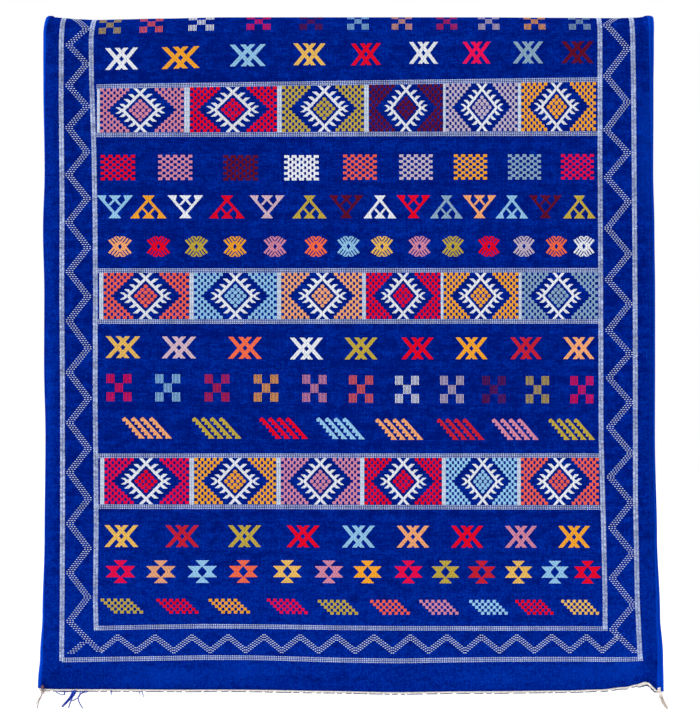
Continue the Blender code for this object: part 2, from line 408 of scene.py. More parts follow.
# The ground wool: hand-spun, weft-faced plain weave, dyed royal blue in the yarn. The eye gets
# short overlapping stitches, streaks and faint bands from uneven dyeing, and a matt face.
GROUND_DEEP = "#000f66"
GROUND_MAIN = "#002293"
GROUND_PALE = "#013cb6"
# The next colour is a painted highlight, and the one after it is both the dark between the ribs and painted
# shade in grooves and hollows.
GROUND_PAINTED_HIGHLIGHT = "#0448d2"
GROUND_GAP_AND_SHADE = "#000850"
SHEEN_TINT = "#2a50d8"
# Each warp shows as a rib. The real wefts are about 1.1 mm apart, too fine for the render, so a
# stitch is drawn three wefts long.
RIB_PITCH_MM = 3.3
STITCH_MM = 3.6
RIB_GROOVE_MM = 0.4
WEAVE_RELIEF_MM = 0.5
DYE_BAND_MM = (620.0, 17.0)
SLUB_MM = (22.0, 3.6)
RIB_STREAK_MM = (3.4, 40.0)
MOTTLE_MM = (34.0, 22.0)
# How much of the shade each of these patterns gives, and the part of their sum that is spread
# from the deep to the main blue
PATTERN_SHARES = (0.20, 0.30, 0.18, 0.32)
SHADE_FROM = 0.455
SHADE_TO = 0.565
DEEP_SHARE = 0.76
# Paling of the ground towards the margins and the front hem, in millimetres from the middle warp and from the
# front hem
MARGIN_START_MM = 690.0
MARGIN_END_MM = 722.0
MARGIN_PALING = 0.45
LOW_START_MM = 520.0
LOW_END_MM = 40.0
LOW_PALING = 0.55


def cloth_coordinates(material):
    """The cloth's own UV in millimetres from its left front corner."""
    place = add(material, "ShaderNodeUVMap", {}, uv_map="cloth")
    size = (2 * HALF_WIDTH / MM, CLOTH_LENGTH / MM, 1.0)
    return add(material, "ShaderNodeMapping", {"Vector": place.outputs[0], "Scale": size}).outputs[0]


def patch_noise(material, place, size_mm, detail):
    """A noise whose patches are about this wide and this long, in millimetres."""
    scale = (1 / size_mm[0], 1 / size_mm[1], 1.0)
    stretched = add(material, "ShaderNodeMapping", {"Vector": place, "Scale": scale})
    sockets = {"Vector": stretched.outputs[0], "Scale": 1.0, "Detail": detail, "Roughness": 0.55}
    return add(material, "ShaderNodeTexNoise", sockets).outputs[0]


def ground_wool():
    """Hand-spun blue wool in weft-faced weave."""
    material, shader = new_material("handspun_blue_wool")
    place = cloth_coordinates(material)
    along_warp = add(material, "ShaderNodeMapping", {"Vector": place, "Rotation": (0, 0, math.pi / 2)})
    stitches = add(
        material,
        "ShaderNodeTexBrick",
        {
            "Vector": along_warp.outputs[0],
            "Color1": linear(GROUND_MAIN),
            "Color2": linear(GROUND_PALE),
            "Mortar": linear(GROUND_GAP_AND_SHADE),
            "Scale": 1.0,
            "Mortar Size": RIB_GROOVE_MM,
            "Mortar Smooth": 1.0,
            "Bias": -0.25,
            "Brick Width": STITCH_MM,
            "Row Height": RIB_PITCH_MM,
        },
        offset=0.5,
        offset_frequency=2,
    )
    sizes = ((DYE_BAND_MM, 3.0), (SLUB_MM, 2.0), (RIB_STREAK_MM, 2.0), (MOTTLE_MM, 4.0))
    patterns = [patch_noise(material, place, size_mm, detail) for size_mm, detail in sizes]
    slubs = patterns[1]
    shade = 0.0
    for pattern, share in zip(patterns, PATTERN_SHARES):
        weighed = {0: pattern, 1: share, 2: shade}
        shade = add(material, "ShaderNodeMath", weighed, operation="MULTIPLY_ADD").outputs[0]
    spread = {"Value": shade, "From Min": SHADE_FROM, "From Max": SHADE_TO, "To Min": 0.0, "To Max": 1.0}
    amount = add(material, "ShaderNodeMapRange", spread, clamp=False).outputs[0]
    paling = {0: amount, 1: paling_share(material, place)}
    amount = add(material, "ShaderNodeMath", paling, operation="ADD").outputs[0]
    wool = {0: DEEP_SHARE, 6: stitches.outputs["Color"], 7: linear(GROUND_DEEP)}
    deep = add(material, "ShaderNodeMix", wool, data_type="RGBA").outputs[2]
    wool = {0: amount, 6: deep, 7: stitches.outputs["Color"]}
    colour = add(material, "ShaderNodeMix", wool, data_type="RGBA", clamp_factor=True).outputs[2]
    # Painted light: the shade attribute mixes the wool towards the gap colour as painted shade in grooves and
    # hollows, and below 0 towards the pale blue as a painted highlight.
    shade = add(material, "ShaderNodeAttribute", {}, attribute_name="shade").outputs["Fac"]
    wool = {0: shade, 6: colour, 7: linear(GROUND_GAP_AND_SHADE)}
    colour = add(material, "ShaderNodeMix", wool, data_type="RGBA").outputs[2]
    paler = add(material, "ShaderNodeMath", {0: shade, 1: -1.0}, operation="MULTIPLY").outputs[0]
    wool = {0: paler, 6: colour, 7: linear(GROUND_PAINTED_HIGHLIGHT)}
    colour = add(material, "ShaderNodeMix", wool, data_type="RGBA").outputs[2]
    relief = {0: slubs, 1: -0.8, 2: stitches.outputs["Fac"]}
    sunk = add(material, "ShaderNodeMath", relief, operation="MULTIPLY_ADD").outputs[0]
    bump = {"Height": sunk, "Strength": 0.8, "Distance": WEAVE_RELIEF_MM * MM}
    raised = add(material, "ShaderNodeBump", bump, invert=True).outputs[0]
    connect(
        material,
        shader,
        {
            "Base Color": colour,
            "Normal": raised,
            "Roughness": 0.92,
            "Specular IOR Level": 0.0,
            "Sheen Weight": 0.03,
            "Sheen Roughness": 0.45,
            "Sheen Tint": linear(SHEEN_TINT),
        },
    )
    return material


def paling_share(material, place):
    """How much paler the ground is drawn: a little more at the lower border and along the margins."""
    parts = add(material, "ShaderNodeSeparateXYZ", {0: place})
    rise = {
        "Value": parts.outputs[1],
        "From Min": LOW_START_MM,
        "From Max": LOW_END_MM,
        "To Min": 0.0,
        "To Max": LOW_PALING,
    }
    low = add(material, "ShaderNodeMapRange", rise, interpolation_type="SMOOTHSTEP").outputs[0]
    centred = {0: parts.outputs[0], 1: HALF_WIDTH / MM}
    off_middle = add(material, "ShaderNodeMath", centred, operation="SUBTRACT").outputs[0]
    away = add(material, "ShaderNodeMath", {0: off_middle}, operation="ABSOLUTE").outputs[0]
    edge = {
        "Value": away,
        "From Min": MARGIN_START_MM,
        "From Max": MARGIN_END_MM,
        "To Min": 0.0,
        "To Max": MARGIN_PALING,
    }
    margin = add(material, "ShaderNodeMapRange", edge, interpolation_type="SMOOTHSTEP").outputs[0]
    return add(material, "ShaderNodeMath", {0: low, 1: margin}, operation="MAXIMUM").outputs[0]


# The brocading wools: softer two-ply yarns, each from one dye bath, packed on top of the ground.
# The eye gets a small change of tone from one pick to the next and a fibrous, matt face.
DYES = {
    "white": "#eef1f4",
    "red": "#ee0000",
    "crimson": "#f10740",
    "rose": "#f81052",
    "tomato": "#f76748",
    "coral": "#fe7440",
    "brick": "#ce2024",
    "peach": "#fdb373",
    "tan": "#e9a978",
    "amber": "#fdb017",
    "sand": "#f2c45a",
    "olive": "#c8b036",
    "sky": "#9ccfee",
    "grey_blue": "#93b2c8",
    "pink": "#dc90a6",
    "lilac_pink": "#dcbec8",
    "lilac": "#cdbdcc",
    "maroon": "#650c0c",
    "rose_pink": "#e08fa0",
    "pale_line": "#c3d2ee",
    "pale_bar": "#cdd9ea",
}
FIBRE_MM = 0.9
FIBRE_RELIEF_MM = 0.3
# What the fibres add to a pick's tone, the tone that counts as full, and how much of its dye's
# colour the darkest and the palest pick keep
FIBRE_SHARE = 0.22
FULL_TONE = 1.2
DARKEST_PICK = 0.72
PALEST_PICK = 1.16


def brocade_wool(dye):
    """Brocading wool from one dye bath."""
    material, shader = new_material(f"two_ply_wool_{dye}")
    place = add(material, "ShaderNodeTexCoord", {}).outputs["Object"]
    fibre_scale = 1 / (FIBRE_MM * MM)
    fibres = {"Vector": place, "Scale": fibre_scale, "Detail": 2.0, "Roughness": 0.6}
    fibre = add(material, "ShaderNodeTexNoise", fibres).outputs[0]
    tone = add(material, "ShaderNodeAttribute", {}, attribute_name="tone").outputs["Fac"]
    weighed = {0: fibre, 1: FIBRE_SHARE, 2: tone}
    shade = add(material, "ShaderNodeMath", weighed, operation="MULTIPLY_ADD").outputs[0]
    spread = {
        "Value": shade,
        "From Min": 0.0,
        "From Max": FULL_TONE,
        "To Min": DARKEST_PICK,
        "To Max": PALEST_PICK,
    }
    light = add(material, "ShaderNodeMapRange", spread).outputs[0]
    grey = add(material, "ShaderNodeCombineColor", {0: light, 1: light, 2: light}).outputs[0]
    wool = {0: 1.0, 6: linear(DYES[dye]), 7: grey}
    colour = add(material, "ShaderNodeMix", wool, data_type="RGBA", blend_type="MULTIPLY").outputs[2]
    bump = {"Height": fibre, "Strength": 0.5, "Distance": FIBRE_RELIEF_MM * MM}
    connect(
        material,
        shader,
        {
            "Base Color": colour,
            "Normal": add(material, "ShaderNodeBump", bump).outputs[0],
            "Roughness": 0.9,
            "Specular IOR Level": 0.02,
            "Sheen Weight": 0.02,
            "Sheen Roughness": 0.5,
        },
    )
    return material


# The yarns of the cords and loose ends: hard-twisted two-ply wool, undyed and creamy where clean,
# greyed, browned or rusty where it was handled, and blue where it is weft. The eye gets the turns
# of the plies and patches of pale and dark, whose size is given in millimetres.
YarnLook = namedtuple("YarnLook", "pale deep patch_mm")
YARN_LOOKS = {
    "undyed_warp_yarn": YarnLook("#fbf7f2", "#d3cbc4", 4.0),
    "worn_warp_yarn": YarnLook("#e4d8cd", "#b7a498", 6.0),
    # This yarn, for the left tail, is greyish brown partly from soiling and partly from painted shade.
    "soiled_and_shaded_warp_yarn": YarnLook("#c9b6b0", "#86706e", 5.0),
    "dusty_blue_thread": YarnLook("#636b92", "#1f2648", 7.0),
    "rust_brown_yarn": YarnLook("#8c5a5e", "#40242e", 5.0),
    "loose_blue_wool": YarnLook("#2a4cc4", "#0b1f8c", 5.0),
}
PATCH_FROM = 0.38
PATCH_TO = 0.62


def yarn_material(name):
    """Undyed or dyed yarn for cords and loose ends, uneven along its length."""
    look = YARN_LOOKS[name]
    material, shader = new_material(name)
    place = add(material, "ShaderNodeTexCoord", {}).outputs["Object"]
    patches = {"Vector": place, "Scale": 1 / (look.patch_mm * MM), "Detail": 3.0, "Roughness": 0.6}
    patch = add(material, "ShaderNodeTexNoise", patches).outputs[0]
    spread = {"Value": patch, "From Min": PATCH_FROM, "From Max": PATCH_TO, "To Min": 0.0, "To Max": 1.0}
    amount = add(material, "ShaderNodeMapRange", spread).outputs[0]
    fibres = {"Vector": place, "Scale": 1 / (FIBRE_MM * MM), "Detail": 2.0}
    fibre = add(material, "ShaderNodeTexNoise", fibres).outputs[0]
    bump = {"Height": fibre, "Strength": 0.6, "Distance": FIBRE_RELIEF_MM * MM}
    wool = {0: amount, 6: linear(look.deep), 7: linear(look.pale)}
    colour = add(material, "ShaderNodeMix", wool, data_type="RGBA").outputs[2]
    connect(
        material,
        shader,
        {
            "Base Color": colour,
            "Normal": add(material, "ShaderNodeBump", bump).outputs[0],
            "Roughness": 0.9,
            "Specular IOR Level": 0.1,
            "Sheen Weight": 0.1,
        },
    )
    return material


# The cloth

def cloth_stations():
    """Distances along the cloth, closest together over the fold."""
    front = np.linspace(0, FRONT_LEG, FRONT_ROWS + 1)
    fold = np.linspace(FRONT_LEG, BACK_START, FOLD_ROWS + 1)[1:-1]
    back = np.linspace(BACK_START, CLOTH_LENGTH, BACK_ROWS + 1)
    return np.concatenate((front, fold, back))


def cloth_sides():
    """Sides from -1 to 1, with a column at each cord and groove of the selvedges."""
    edge = 1 - np.array(SELVEDGE_COLUMNS[::-1]) / HALF_WIDTH
    even = np.linspace(0, 1, CLOTH_COLUMNS // 2 + 1)[:-1]
    inner = edge[0] * (EVEN_COLUMNS * even + (1 - EVEN_COLUMNS) * np.sin(even * math.pi / 2))
    right = np.concatenate((inner, edge))
    return np.concatenate((-right[:0:-1], right))


def linked(name, mesh, material):
    """The mesh as an object of the scene, shaded smooth."""
    mesh.shade_smooth()
    mesh.materials.append(material)
    made = bpy.data.objects.new(name, mesh)
    bpy.context.scene.collection.objects.link(made)
    return made


def make_cloth(material):
    """The whole cloth: one thin sheet over the bar, thicker along the cords of its selvedges."""
    sides, stations = cloth_sides(), cloth_stations()
    shape = bmesh.new()
    bmesh.ops.create_grid(shape, x_segments=len(sides) - 1, y_segments=len(stations) - 1, size=1.0)
    mesh = bpy.data.meshes.new("woven_cloth")
    shape.to_mesh(mesh)
    shape.free()
    grid = np.empty(len(mesh.vertices) * 3)
    mesh.vertices.foreach_get("co", grid)
    grid = grid.reshape(-1, 3)
    side = sides[np.rint((grid[:, 0] + 1) / 2 * (len(sides) - 1)).astype(int)]
    along = stations[np.rint((grid[:, 1] + 1) / 2 * (len(stations) - 1)).astype(int)]
    half = half_widths(side, along)
    across = side * half
    mesh.vertices.foreach_set("co", middle_surface(across, along).ravel())
    corners = np.empty(len(mesh.loops), int)
    mesh.loops.foreach_get("vertex_index", corners)
    places = np.column_stack((across / (2 * HALF_WIDTH) + 0.5, along / CLOTH_LENGTH))
    layer = mesh.uv_layers.new(name="cloth")
    layer.data.foreach_set("uv", places[corners].ravel())
    mesh.update()
    # The cloth carries its painted shade and painted light as the shade attribute, which the ground wool
    # reads.
    layer = mesh.attributes.new("shade", "FLOAT", "POINT")
    shade = painted_ground_light(across, along, half - np.abs(across))
    layer.data.foreach_set("value", shade.astype(np.float32))
    cloth = linked("woven_cloth", mesh, material)
    cords = read_table(SELVEDGE_CORDS, "share", half - np.abs(across))
    cords = np.where(half - np.abs(across) > SELVEDGE_CORDS[-1].inwards, 0.0, cords)
    weights = cloth.vertex_groups.new(name="selvedge_cords")
    for index in np.flatnonzero(cords > 0):
        weights.add([int(index)], float(cords[index]), "REPLACE")
    body = cloth.modifiers.new("cloth thickness", "SOLIDIFY")
    body.thickness = SELVEDGE_THICKNESS
    body.offset = 0.0
    body.vertex_group = weights.name
    body.thickness_vertex_group = CLOTH_THICKNESS / SELVEDGE_THICKNESS
    return cloth


# Motif charts, in millimetres from a motif's middle, across to the right and down. A slab is a
# piece of colour between two level picks, with straight sides.
Slab = namedtuple("Slab", "top bottom left_top right_top left_bottom right_bottom")
Chart = namedtuple("Chart", "slabs holes pick")


def leaning(top, bottom, left_top, left_bottom, wide):
    """A slanting stroke of even width."""
    return Slab(top, bottom, left_top, left_top + wide, left_bottom, left_bottom + wide)


def block(top, bottom, left, right):
    """An upright rectangle."""
    return Slab(top, bottom, left, right, left, right)


def mirrored(slabs):
    """The slabs turned left for right."""
    return [
        Slab(s.top, s.bottom, -s.right_top, -s.left_top, -s.right_bottom, -s.left_bottom) for s in slabs
    ]


def upended(slabs):
    """The slabs turned top for bottom."""
    return [
        Slab(-s.bottom, -s.top, s.left_bottom, s.right_bottom, s.left_top, s.right_top) for s in slabs
    ]


def double_cross():
    """Two crosses that share their middle."""
    strokes = [leaning(-26.2, 26.2, -41.0, 4.0, 12.3), leaning(-26.2, 26.2, -17.4, 28.9, 12.3)]
    return Chart(strokes + mirrored(strokes), [], PICK)


def fork():
    """A tree with two arms, small triangles at its tips and a triangular foot."""
    left = [
        leaning(-27.4, 17.5, -41.0, -4.0, 8.3),
        leaning(-18.5, -3.0, -3.2, -16.5, 6.6),
        Slab(-27.4, -14.6, -41.0, -19.0, -30.2, -23.0),
    ]
    middle = [Slab(-27.4, -15.0, -14.4, 14.4, -2.6, 2.6), Slab(14.5, 27.6, -3.6, 3.6, -14.4, 14.4)]
    return Chart(left + mirrored(left) + middle, [], PICK)


def tent():
    """The fork on its head."""
    return Chart(upended(fork().slabs), [], PICK)


def rayed_cross():
    """Four fanned lines in each quarter, run together at the sides of a small diamond."""
    quarter = [Slab(-24.4, -19.6, -10.0, -3.0, -20.0, 0.0)]
    across = [Slab(-19.6, -14.6, -20.0, 20.0, -29.4, 29.4), Slab(-14.6, 0, -29.4, 29.4, -16.0, 16.0)]
    slits = [
        leaning(-18.2, -6.6, -24.8, -15.2, 3.3),
        leaning(-21.0, -9.2, -18.0, -8.4, 3.3),
        leaning(-23.6, -12.6, -11.4, -2.6, 3.0),
    ]
    diamond = [Slab(-7.2, 0, 0, 0, -4.8, 4.8)]
    upper, holes = quarter + mirrored(quarter) + across, slits + mirrored(slits) + diamond
    return Chart(upper + upended(upper), holes + upended(holes), PICK * 0.75)


COMB_STRIPS = 4
COMB_PITCH = 21.6
COMB_HEIGHT = 49.2
COMB_LEAN = 0.917
COMB_SPINE = 8.2
COMB_TEETH = 6
COMB_TOOTH_PITCH = 8.3
COMB_TOOTH_REACH = 8.7
COMB_HALF_WIDTH = 59.5


def combs():
    """Four slanting strips with teeth down their left sides."""
    slabs = []
    for strip in range(COMB_STRIPS):
        left = -COMB_HALF_WIDTH + strip * COMB_PITCH
        spine_top = left + 1.0
        spine_bottom = spine_top + COMB_HEIGHT * COMB_LEAN
        slabs.append(leaning(-COMB_HEIGHT / 2 + 2, COMB_HEIGHT / 2, spine_top + 2, spine_bottom, COMB_SPINE))
        head = (spine_top + 3.6, spine_top + 5.6, spine_top - 3.0, spine_top + 3.6 + COMB_SPINE)
        slabs.append(Slab(-COMB_HEIGHT / 2 - 1.5, -COMB_HEIGHT / 2 + 4.4, *head))
        for tooth in range(COMB_TEETH):
            top = tooth * COMB_TOOTH_PITCH
            bottom = top + COMB_TOOTH_PITCH * 0.97
            start, end = spine_top + top * COMB_LEAN, spine_top + bottom * COMB_LEAN
            slabs.append(
                Slab(
                    top - COMB_HEIGHT / 2,
                    bottom - COMB_HEIGHT / 2,
                    start,
                    start + COMB_SPINE / 2,
                    end - COMB_TOOTH_REACH,
                    end + COMB_SPINE / 2,
                )
            )
    return Chart(slabs, [], PICK)


CHECK_WIDTH = 10.2
FULL_CHECK_WIDTH = 12.6
CHECK_PERIOD = 17.8
CHECK_HEIGHT = 6.75
CHECK_ROWS = 9
CHECK_BRICKS = 5


def checker(width):
    """Nine rows of small checks, five and four in turn."""
    slabs = []
    for row in range(CHECK_ROWS):
        bricks = CHECK_BRICKS - row % 2
        top = (row - CHECK_ROWS / 2) * CHECK_HEIGHT
        for brick in range(bricks):
            middle = (brick - (bricks - 1) / 2) * CHECK_PERIOD
            slabs.append(block(top, top + CHECK_HEIGHT, middle - width / 2, middle + width / 2))
    return Chart(slabs, [], CHECK_HEIGHT / 3)


def stepped_diamond():
    """Four hooked wings round a small diamond."""
    upper = [
        Slab(-12.7, 0, -35.0, 35.0, -21.5, 21.5),
        Slab(-27.1, -12.7, -16.8, 16.8, -1.8, 1.8),
    ]
    hole = [Slab(-12.8, 0, 0, 0, -11.5, 11.5)]
    return Chart(upper + upended(upper), hole + upended(hole), PICK)


DOT_ROWS = 5
DOT_BRICKS = 5
DOT_WIDTH = 9.0
DOT_PERIOD = 15.5
DOT_ROW_PITCH = 7.3
DOT_HEIGHT = 6.4
DOT_LEAN = 7.9


def dotted_slant():
    """Five rows of five dots, each row set to the right of the one above."""
    reach = (DOT_BRICKS - 1) * DOT_PERIOD + (DOT_ROWS - 1) * DOT_LEAN
    slabs = []
    for row in range(DOT_ROWS):
        middle_down = (row - (DOT_ROWS - 1) / 2) * DOT_ROW_PITCH
        for brick in range(DOT_BRICKS):
            middle = brick * DOT_PERIOD + row * DOT_LEAN - reach / 2
            slabs.append(
                block(
                    middle_down - DOT_HEIGHT / 2,
                    middle_down + DOT_HEIGHT / 2,
                    middle - DOT_WIDTH / 2,
                    middle + DOT_WIDTH / 2,
                )
            )
    return Chart(slabs, [], DOT_ROW_PITCH / 4)


SQUARE_WIDTH = 18.6
SQUARE_HEIGHT = 21.0
SQUARE_STEP_ACROSS = 19.6
SQUARE_STEP_DOWN = 22.2
STRIPE_PITCH = 3.3
STRIPE_WIDTH = 1.9
SQUARE_PICK = 2.4
WORN_STRIPE_WIDTH = 1.7
WORN_TALL = 0.79


def five_squares(stripe_width, tall):
    """A square at each corner and one in the middle, in lines of fine upright dashes."""
    slabs = []
    stripes = round(SQUARE_WIDTH / STRIPE_PITCH)
    for column, row in ((-1, -1), (1, -1), (0, 0), (-1, 1), (1, 1)):
        for stripe in range(stripes):
            middle = column * SQUARE_STEP_ACROSS + (stripe - (stripes - 1) / 2) * STRIPE_PITCH
            top = (row * SQUARE_STEP_DOWN - SQUARE_HEIGHT / 2) * tall
            bottom = top + SQUARE_HEIGHT * tall
            slabs.append(block(top, bottom, middle - stripe_width / 2, middle + stripe_width / 2))
    return Chart(slabs, [], SQUARE_PICK)


CHARTS = {
    "double_cross": double_cross(),
    "fork": fork(),
    "tent": tent(),
    "rayed_cross": rayed_cross(),
    "combs": combs(),
    "checker": checker(CHECK_WIDTH),
    "full_checker": checker(FULL_CHECK_WIDTH),
    "stepped_diamond": stepped_diamond(),
    "dotted_slant": dotted_slant(),
    "five_squares": five_squares(STRIPE_WIDTH, 1.0),
    "worn_squares": five_squares(WORN_STRIPE_WIDTH, WORN_TALL),
}

# The rows of single motifs, downwards: which motif, pairs of a column of the photograph with the
# row's photo_y or its motifs' stretch there, and then each motif's own column and dye
Row = namedtuple("Row", "motif levels stretches photo_x dyes")
ROWS = (
    Row(
        "worn_squares", ((95, 23.2), (151, 21.7), (205, 19.7), (258, 19.0), (600, 18.7)),
        ((95, 0.88), (151, 0.96), (201, 1.06), (258, 1.00), (311, 0.94), (402, 0.84), (600, 0.90)),
        (109.5, 151, 201, 258.5, 311, 358, 402, 447, 489, 535, 580),
        (
            "olive", "tomato", "white", "crimson", "maroon", "sky",
            "tan", "brick", "lilac", "amber", "grey_blue",
        ),
    ),
    Row(
        "double_cross",
        ((95, 59.2), (181, 57.6), (248, 55.3), (310, 54.3), (367, 54.3), (423, 52.9), (600, 52.1)),
        (
            (95, 0.96), (122, 0.97), (181, 1.12), (248, 1.06),
            (310, 0.95), (366, 0.88), (477, 0.83), (577, 0.95),
        ),
        (121.6, 180.6, 247.7, 309.5, 366, 423.5, 476.5, 528, 577.5),
        ("white", "amber", "sky", "sand", "red", "white", "rose", "grey_blue", "maroon"),
    ),
    Row(
        "checker", ((95, 167.6), (600, 166.8)), ((95, 1.02), (600, 0.97)),
        (118, 175.3, 360, 416, 470.5, 524.5, 577.5),
        ("red", "pink", "tomato", "lilac", "amber", "grey_blue", "crimson"),
    ),
    Row(
        "full_checker", ((95, 167.8), (600, 167.8)), ((95, 1.01), (600, 0.97)),
        (240.6, 301.5),
        ("maroon", "white"),
    ),
    Row(
        "fork", ((95, 206.8), (600, 206.6)), ((95, 1.07), (600, 0.96)),
        (115, 185.5, 267, 346.2, 413.5, 479.5, 545.5),
        ("sky", "white", "lilac_pink", "maroon", "red", "peach", "maroon"),
    ),
    Row(
        "tent", ((95, 207.0), (600, 207.0)), ((95, 1.09), (300, 1.03), (380, 0.97), (600, 0.96)),
        (148.5, 227, 309.5, 380, 446.5, 512, 579.5),
        ("amber", "red", "olive", "white", "grey_blue", "sky", "olive"),
    ),
    Row(
        "rayed_cross", ((95, 246.6), (600, 246.3)), ((95, 0.98), (600, 0.87)),
        (120, 158.5, 196.5, 235, 275, 316, 348.5, 382, 419.5, 453, 489, 524, 556.5, 584),
        (
            "peach", "red", "olive", "amber", "pink", "coral", "sky",
            "sand", "pink", "olive", "red", "lilac", "coral", "white",
        ),
    ),
    Row(
        "double_cross", ((95, 347.0), (245, 347.9), (310, 348.6), (600, 348.1)), ((95, 1.03), (600, 0.91)),
        (123, 179, 245, 306.5, 361, 417.5, 471.5, 526, 579),
        ("sand", "lilac_pink", "coral", "white", "olive", "red", "amber", "brick", "peach"),
    ),
    Row(
        "five_squares", ((95, 387.6), (300, 388.2), (380, 389.4), (600, 389.8)), ((95, 1.04), (600, 0.95)),
        (119, 167.8, 217, 266, 314.5, 361, 407, 452, 494, 537.5, 582),
        (
            "crimson", "sky", "brick", "amber", "pink", "tomato", "white",
            "lilac", "maroon", "olive", "crimson",
        ),
    ),
    Row(
        "combs", ((95, 428.0), (330, 428.5), (400, 429.4), (600, 429.5)), ((95, 1.01), (600, 0.93)),
        (147.3, 217, 283.8, 340.8, 399.5, 460.8, 515.5, 572),
        ("peach", "olive", "red", "sky", "peach", "brick", "pink", "olive"),
    ),
    Row(
        "double_cross", ((95, 536.0), (600, 537.0)), ((95, 1.00), (600, 0.93)),
        (121.5, 182.3, 244.5, 303, 358.5, 413, 467.2, 521, 574.2),
        ("sand", "brick", "olive", "red", "sky", "peach", "red", "pink", "amber"),
    ),
    Row(
        "stepped_diamond", ((95, 571.6), (300, 571.7), (600, 572.4)), ((95, 1.01), (600, 0.91)),
        (120.6, 161, 202.3, 243.3, 287.3, 329, 367.5, 408.5, 445.5, 481.8, 518.5, 555, 587.8),
        (
            "crimson", "tan", "sky", "coral", "sand", "pink", "amber",
            "crimson", "olive", "brick", "sand", "sky", "red",
        ),
    ),
    Row(
        "dotted_slant", ((95, 605.9), (290, 606.5), (340, 607.2), (600, 607.4)), ((95, 1.00), (600, 0.88)),
        (122, 177.5, 229.2, 287.4, 338, 390, 439, 488.5, 534.5, 580.3),
        (
            "olive", "red", "amber", "crimson", "olive",
            "tomato", "pink", "sky", "red", "sand",
        ),
    ),
)

# The rows that the hidden back leg repeats in the opposite order, down to the far border
HIDDEN_ROWS = ("combs", "double_cross", "stepped_diamond", "dotted_slant")
FIRST_HIDDEN_SOURCE_Y = 400
# How many motifs or cells further on the hidden rows and band start in their order of dyes
HIDDEN_ROW_SHIFT = 4
HIDDEN_CELL_SHIFT = 2

# The banded rows: the middles of the two framing lines at the left and right of the photograph,
# the left edge of the first bar, and the left and right edges of each cell, the middle of its
# medallion and its dye
Band = namedtuple("Band", "top_left_y top_right_y bottom_left_y bottom_right_y first_bar_x cells")
Cell = namedtuple("Cell", "left_photo_x right_photo_x middle_photo_x dye")
BANDS = (
    Band(
        86.5, 79.4, 134.9, 133.5, 96.8,
        (
            Cell(100.0, 184.0, 140.3, "rose_pink"),
            Cell(190.0, 277.0, 232.8, "red"),
            Cell(282.0, 364.0, 324.4, "olive"),
            Cell(369.0, 443.0, 406.0, "maroon"),
            Cell(446.0, 517.7, 482.0, "lilac"),
            Cell(521.4, 596.0, 556.7, "amber"),
        ),
    ),
    Band(
        270.6, 270.2, 321.6, 321.4, 99.2,
        (
            Cell(103.6, 189.2, 145.7, "tomato"),
            Cell(194.0, 276.8, 235.4, "sky"),
            Cell(281.4, 362.0, 322.4, "peach"),
            Cell(366.0, 440.6, 403.2, "red"),
            Cell(443.7, 518.5, 480.8, "amber"),
            Cell(522.0, 598.0, 558.6, "grey_blue"),
        ),
    ),
    Band(
        455.8, 455.6, 506.6, 507.6, 100.1,
        (
            Cell(104.5, 189.2, 146.1, "crimson"),
            Cell(194.3, 276.2, 235.0, "amber"),
            Cell(281.0, 360.0, 320.5, "pink"),
            Cell(364.5, 441.8, 403.3, "red"),
            Cell(446.0, 517.0, 482.8, "sky"),
            Cell(521.0, 599.0, 559.4, "tomato"),
        ),
    ),
)
CENTRE_DYES = {"crimson": "red"}

# A band's cell, in millimetres
BRICK_ROWS = 15
BRICK_SHARE = 0.635
BRICK_HEIGHT_SHARE = 0.885
BRICK_REACH = 74.0
BRICK_REACH_STEP = 8.15
BRICK_PERIOD = 15.2
BRICK_GRACE = 1.0
NOMINAL_CELL_WIDTH = 203.0
NOMINAL_CELL_HEIGHT = 110.0


def brick_fields(width, height):
    """The two toothed fields of bricks at the sides of a cell."""
    squeeze = width / NOMINAL_CELL_WIDTH
    pitch = height / BRICK_ROWS
    period = BRICK_PERIOD * squeeze
    slabs = []
    for row in range(BRICK_ROWS):
        depth = min(row, BRICK_ROWS - 1 - row)
        reach = (BRICK_REACH - BRICK_REACH_STEP * depth) * squeeze
        start = period / 2 if row % 2 else 0.0
        while start + period * BRICK_SHARE <= reach + BRICK_GRACE:
            left = start - width / 2
            top = row * pitch - height / 2
            brick_bottom = top + pitch * BRICK_HEIGHT_SHARE
            slabs.append(block(top, brick_bottom, left, left + period * BRICK_SHARE))
            start += period
    return Chart(slabs + mirrored(slabs), [], pitch / 4)


# Each spike's outer edge and top, how far down it reaches, and its left and right edges off the
# outer edge, at its top and at its foot
MEDALLION_SPIKES = ((30.2, -40.6), (40.6, -28.6), (51.6, -16.8))
SPIKE_DROP = 10.4
SPIKE_TOP = (-10.8, 0.3)
SPIKE_FOOT = (-23.4, -13.0)


def medallion():
    """A toothed diamond ring whose sides cross at its top and foot, for a cell of nominal size."""
    right = [
        leaning(-54.5, 1.0, 8.0, -47.0, 9.0),
        Slab(-8.4, -0.6, 51.5, 61.5, 41.0, 49.0),
        Slab(-3.4, 3.4, 40.0, 50.0, 40.0, 50.0),
    ]
    for across, down in MEDALLION_SPIKES:
        edges = [across + edge for edge in SPIKE_TOP + SPIKE_FOOT]
        right.append(Slab(down, down + SPIKE_DROP, *edges))
    upper = right + mirrored(right)
    return upper + upended(upper)


def medallion_chart(width, height):
    """The medallion fitted to one cell."""
    wide, tall = width / NOMINAL_CELL_WIDTH, height / NOMINAL_CELL_HEIGHT
    fitted = [
        Slab(slab.top * tall, slab.bottom * tall, *(edge * wide for edge in slab[2:]))
        for slab in medallion()
    ]
    return Chart(fitted, [], PICK)


LATTICE = 4
LATTICE_ACROSS = 7.4
LATTICE_DOWN = 7.6
LATTICE_HALF_SHARE = 0.54
LATTICE_NARROW = 3.0
LATTICE_BROAD = 5.7


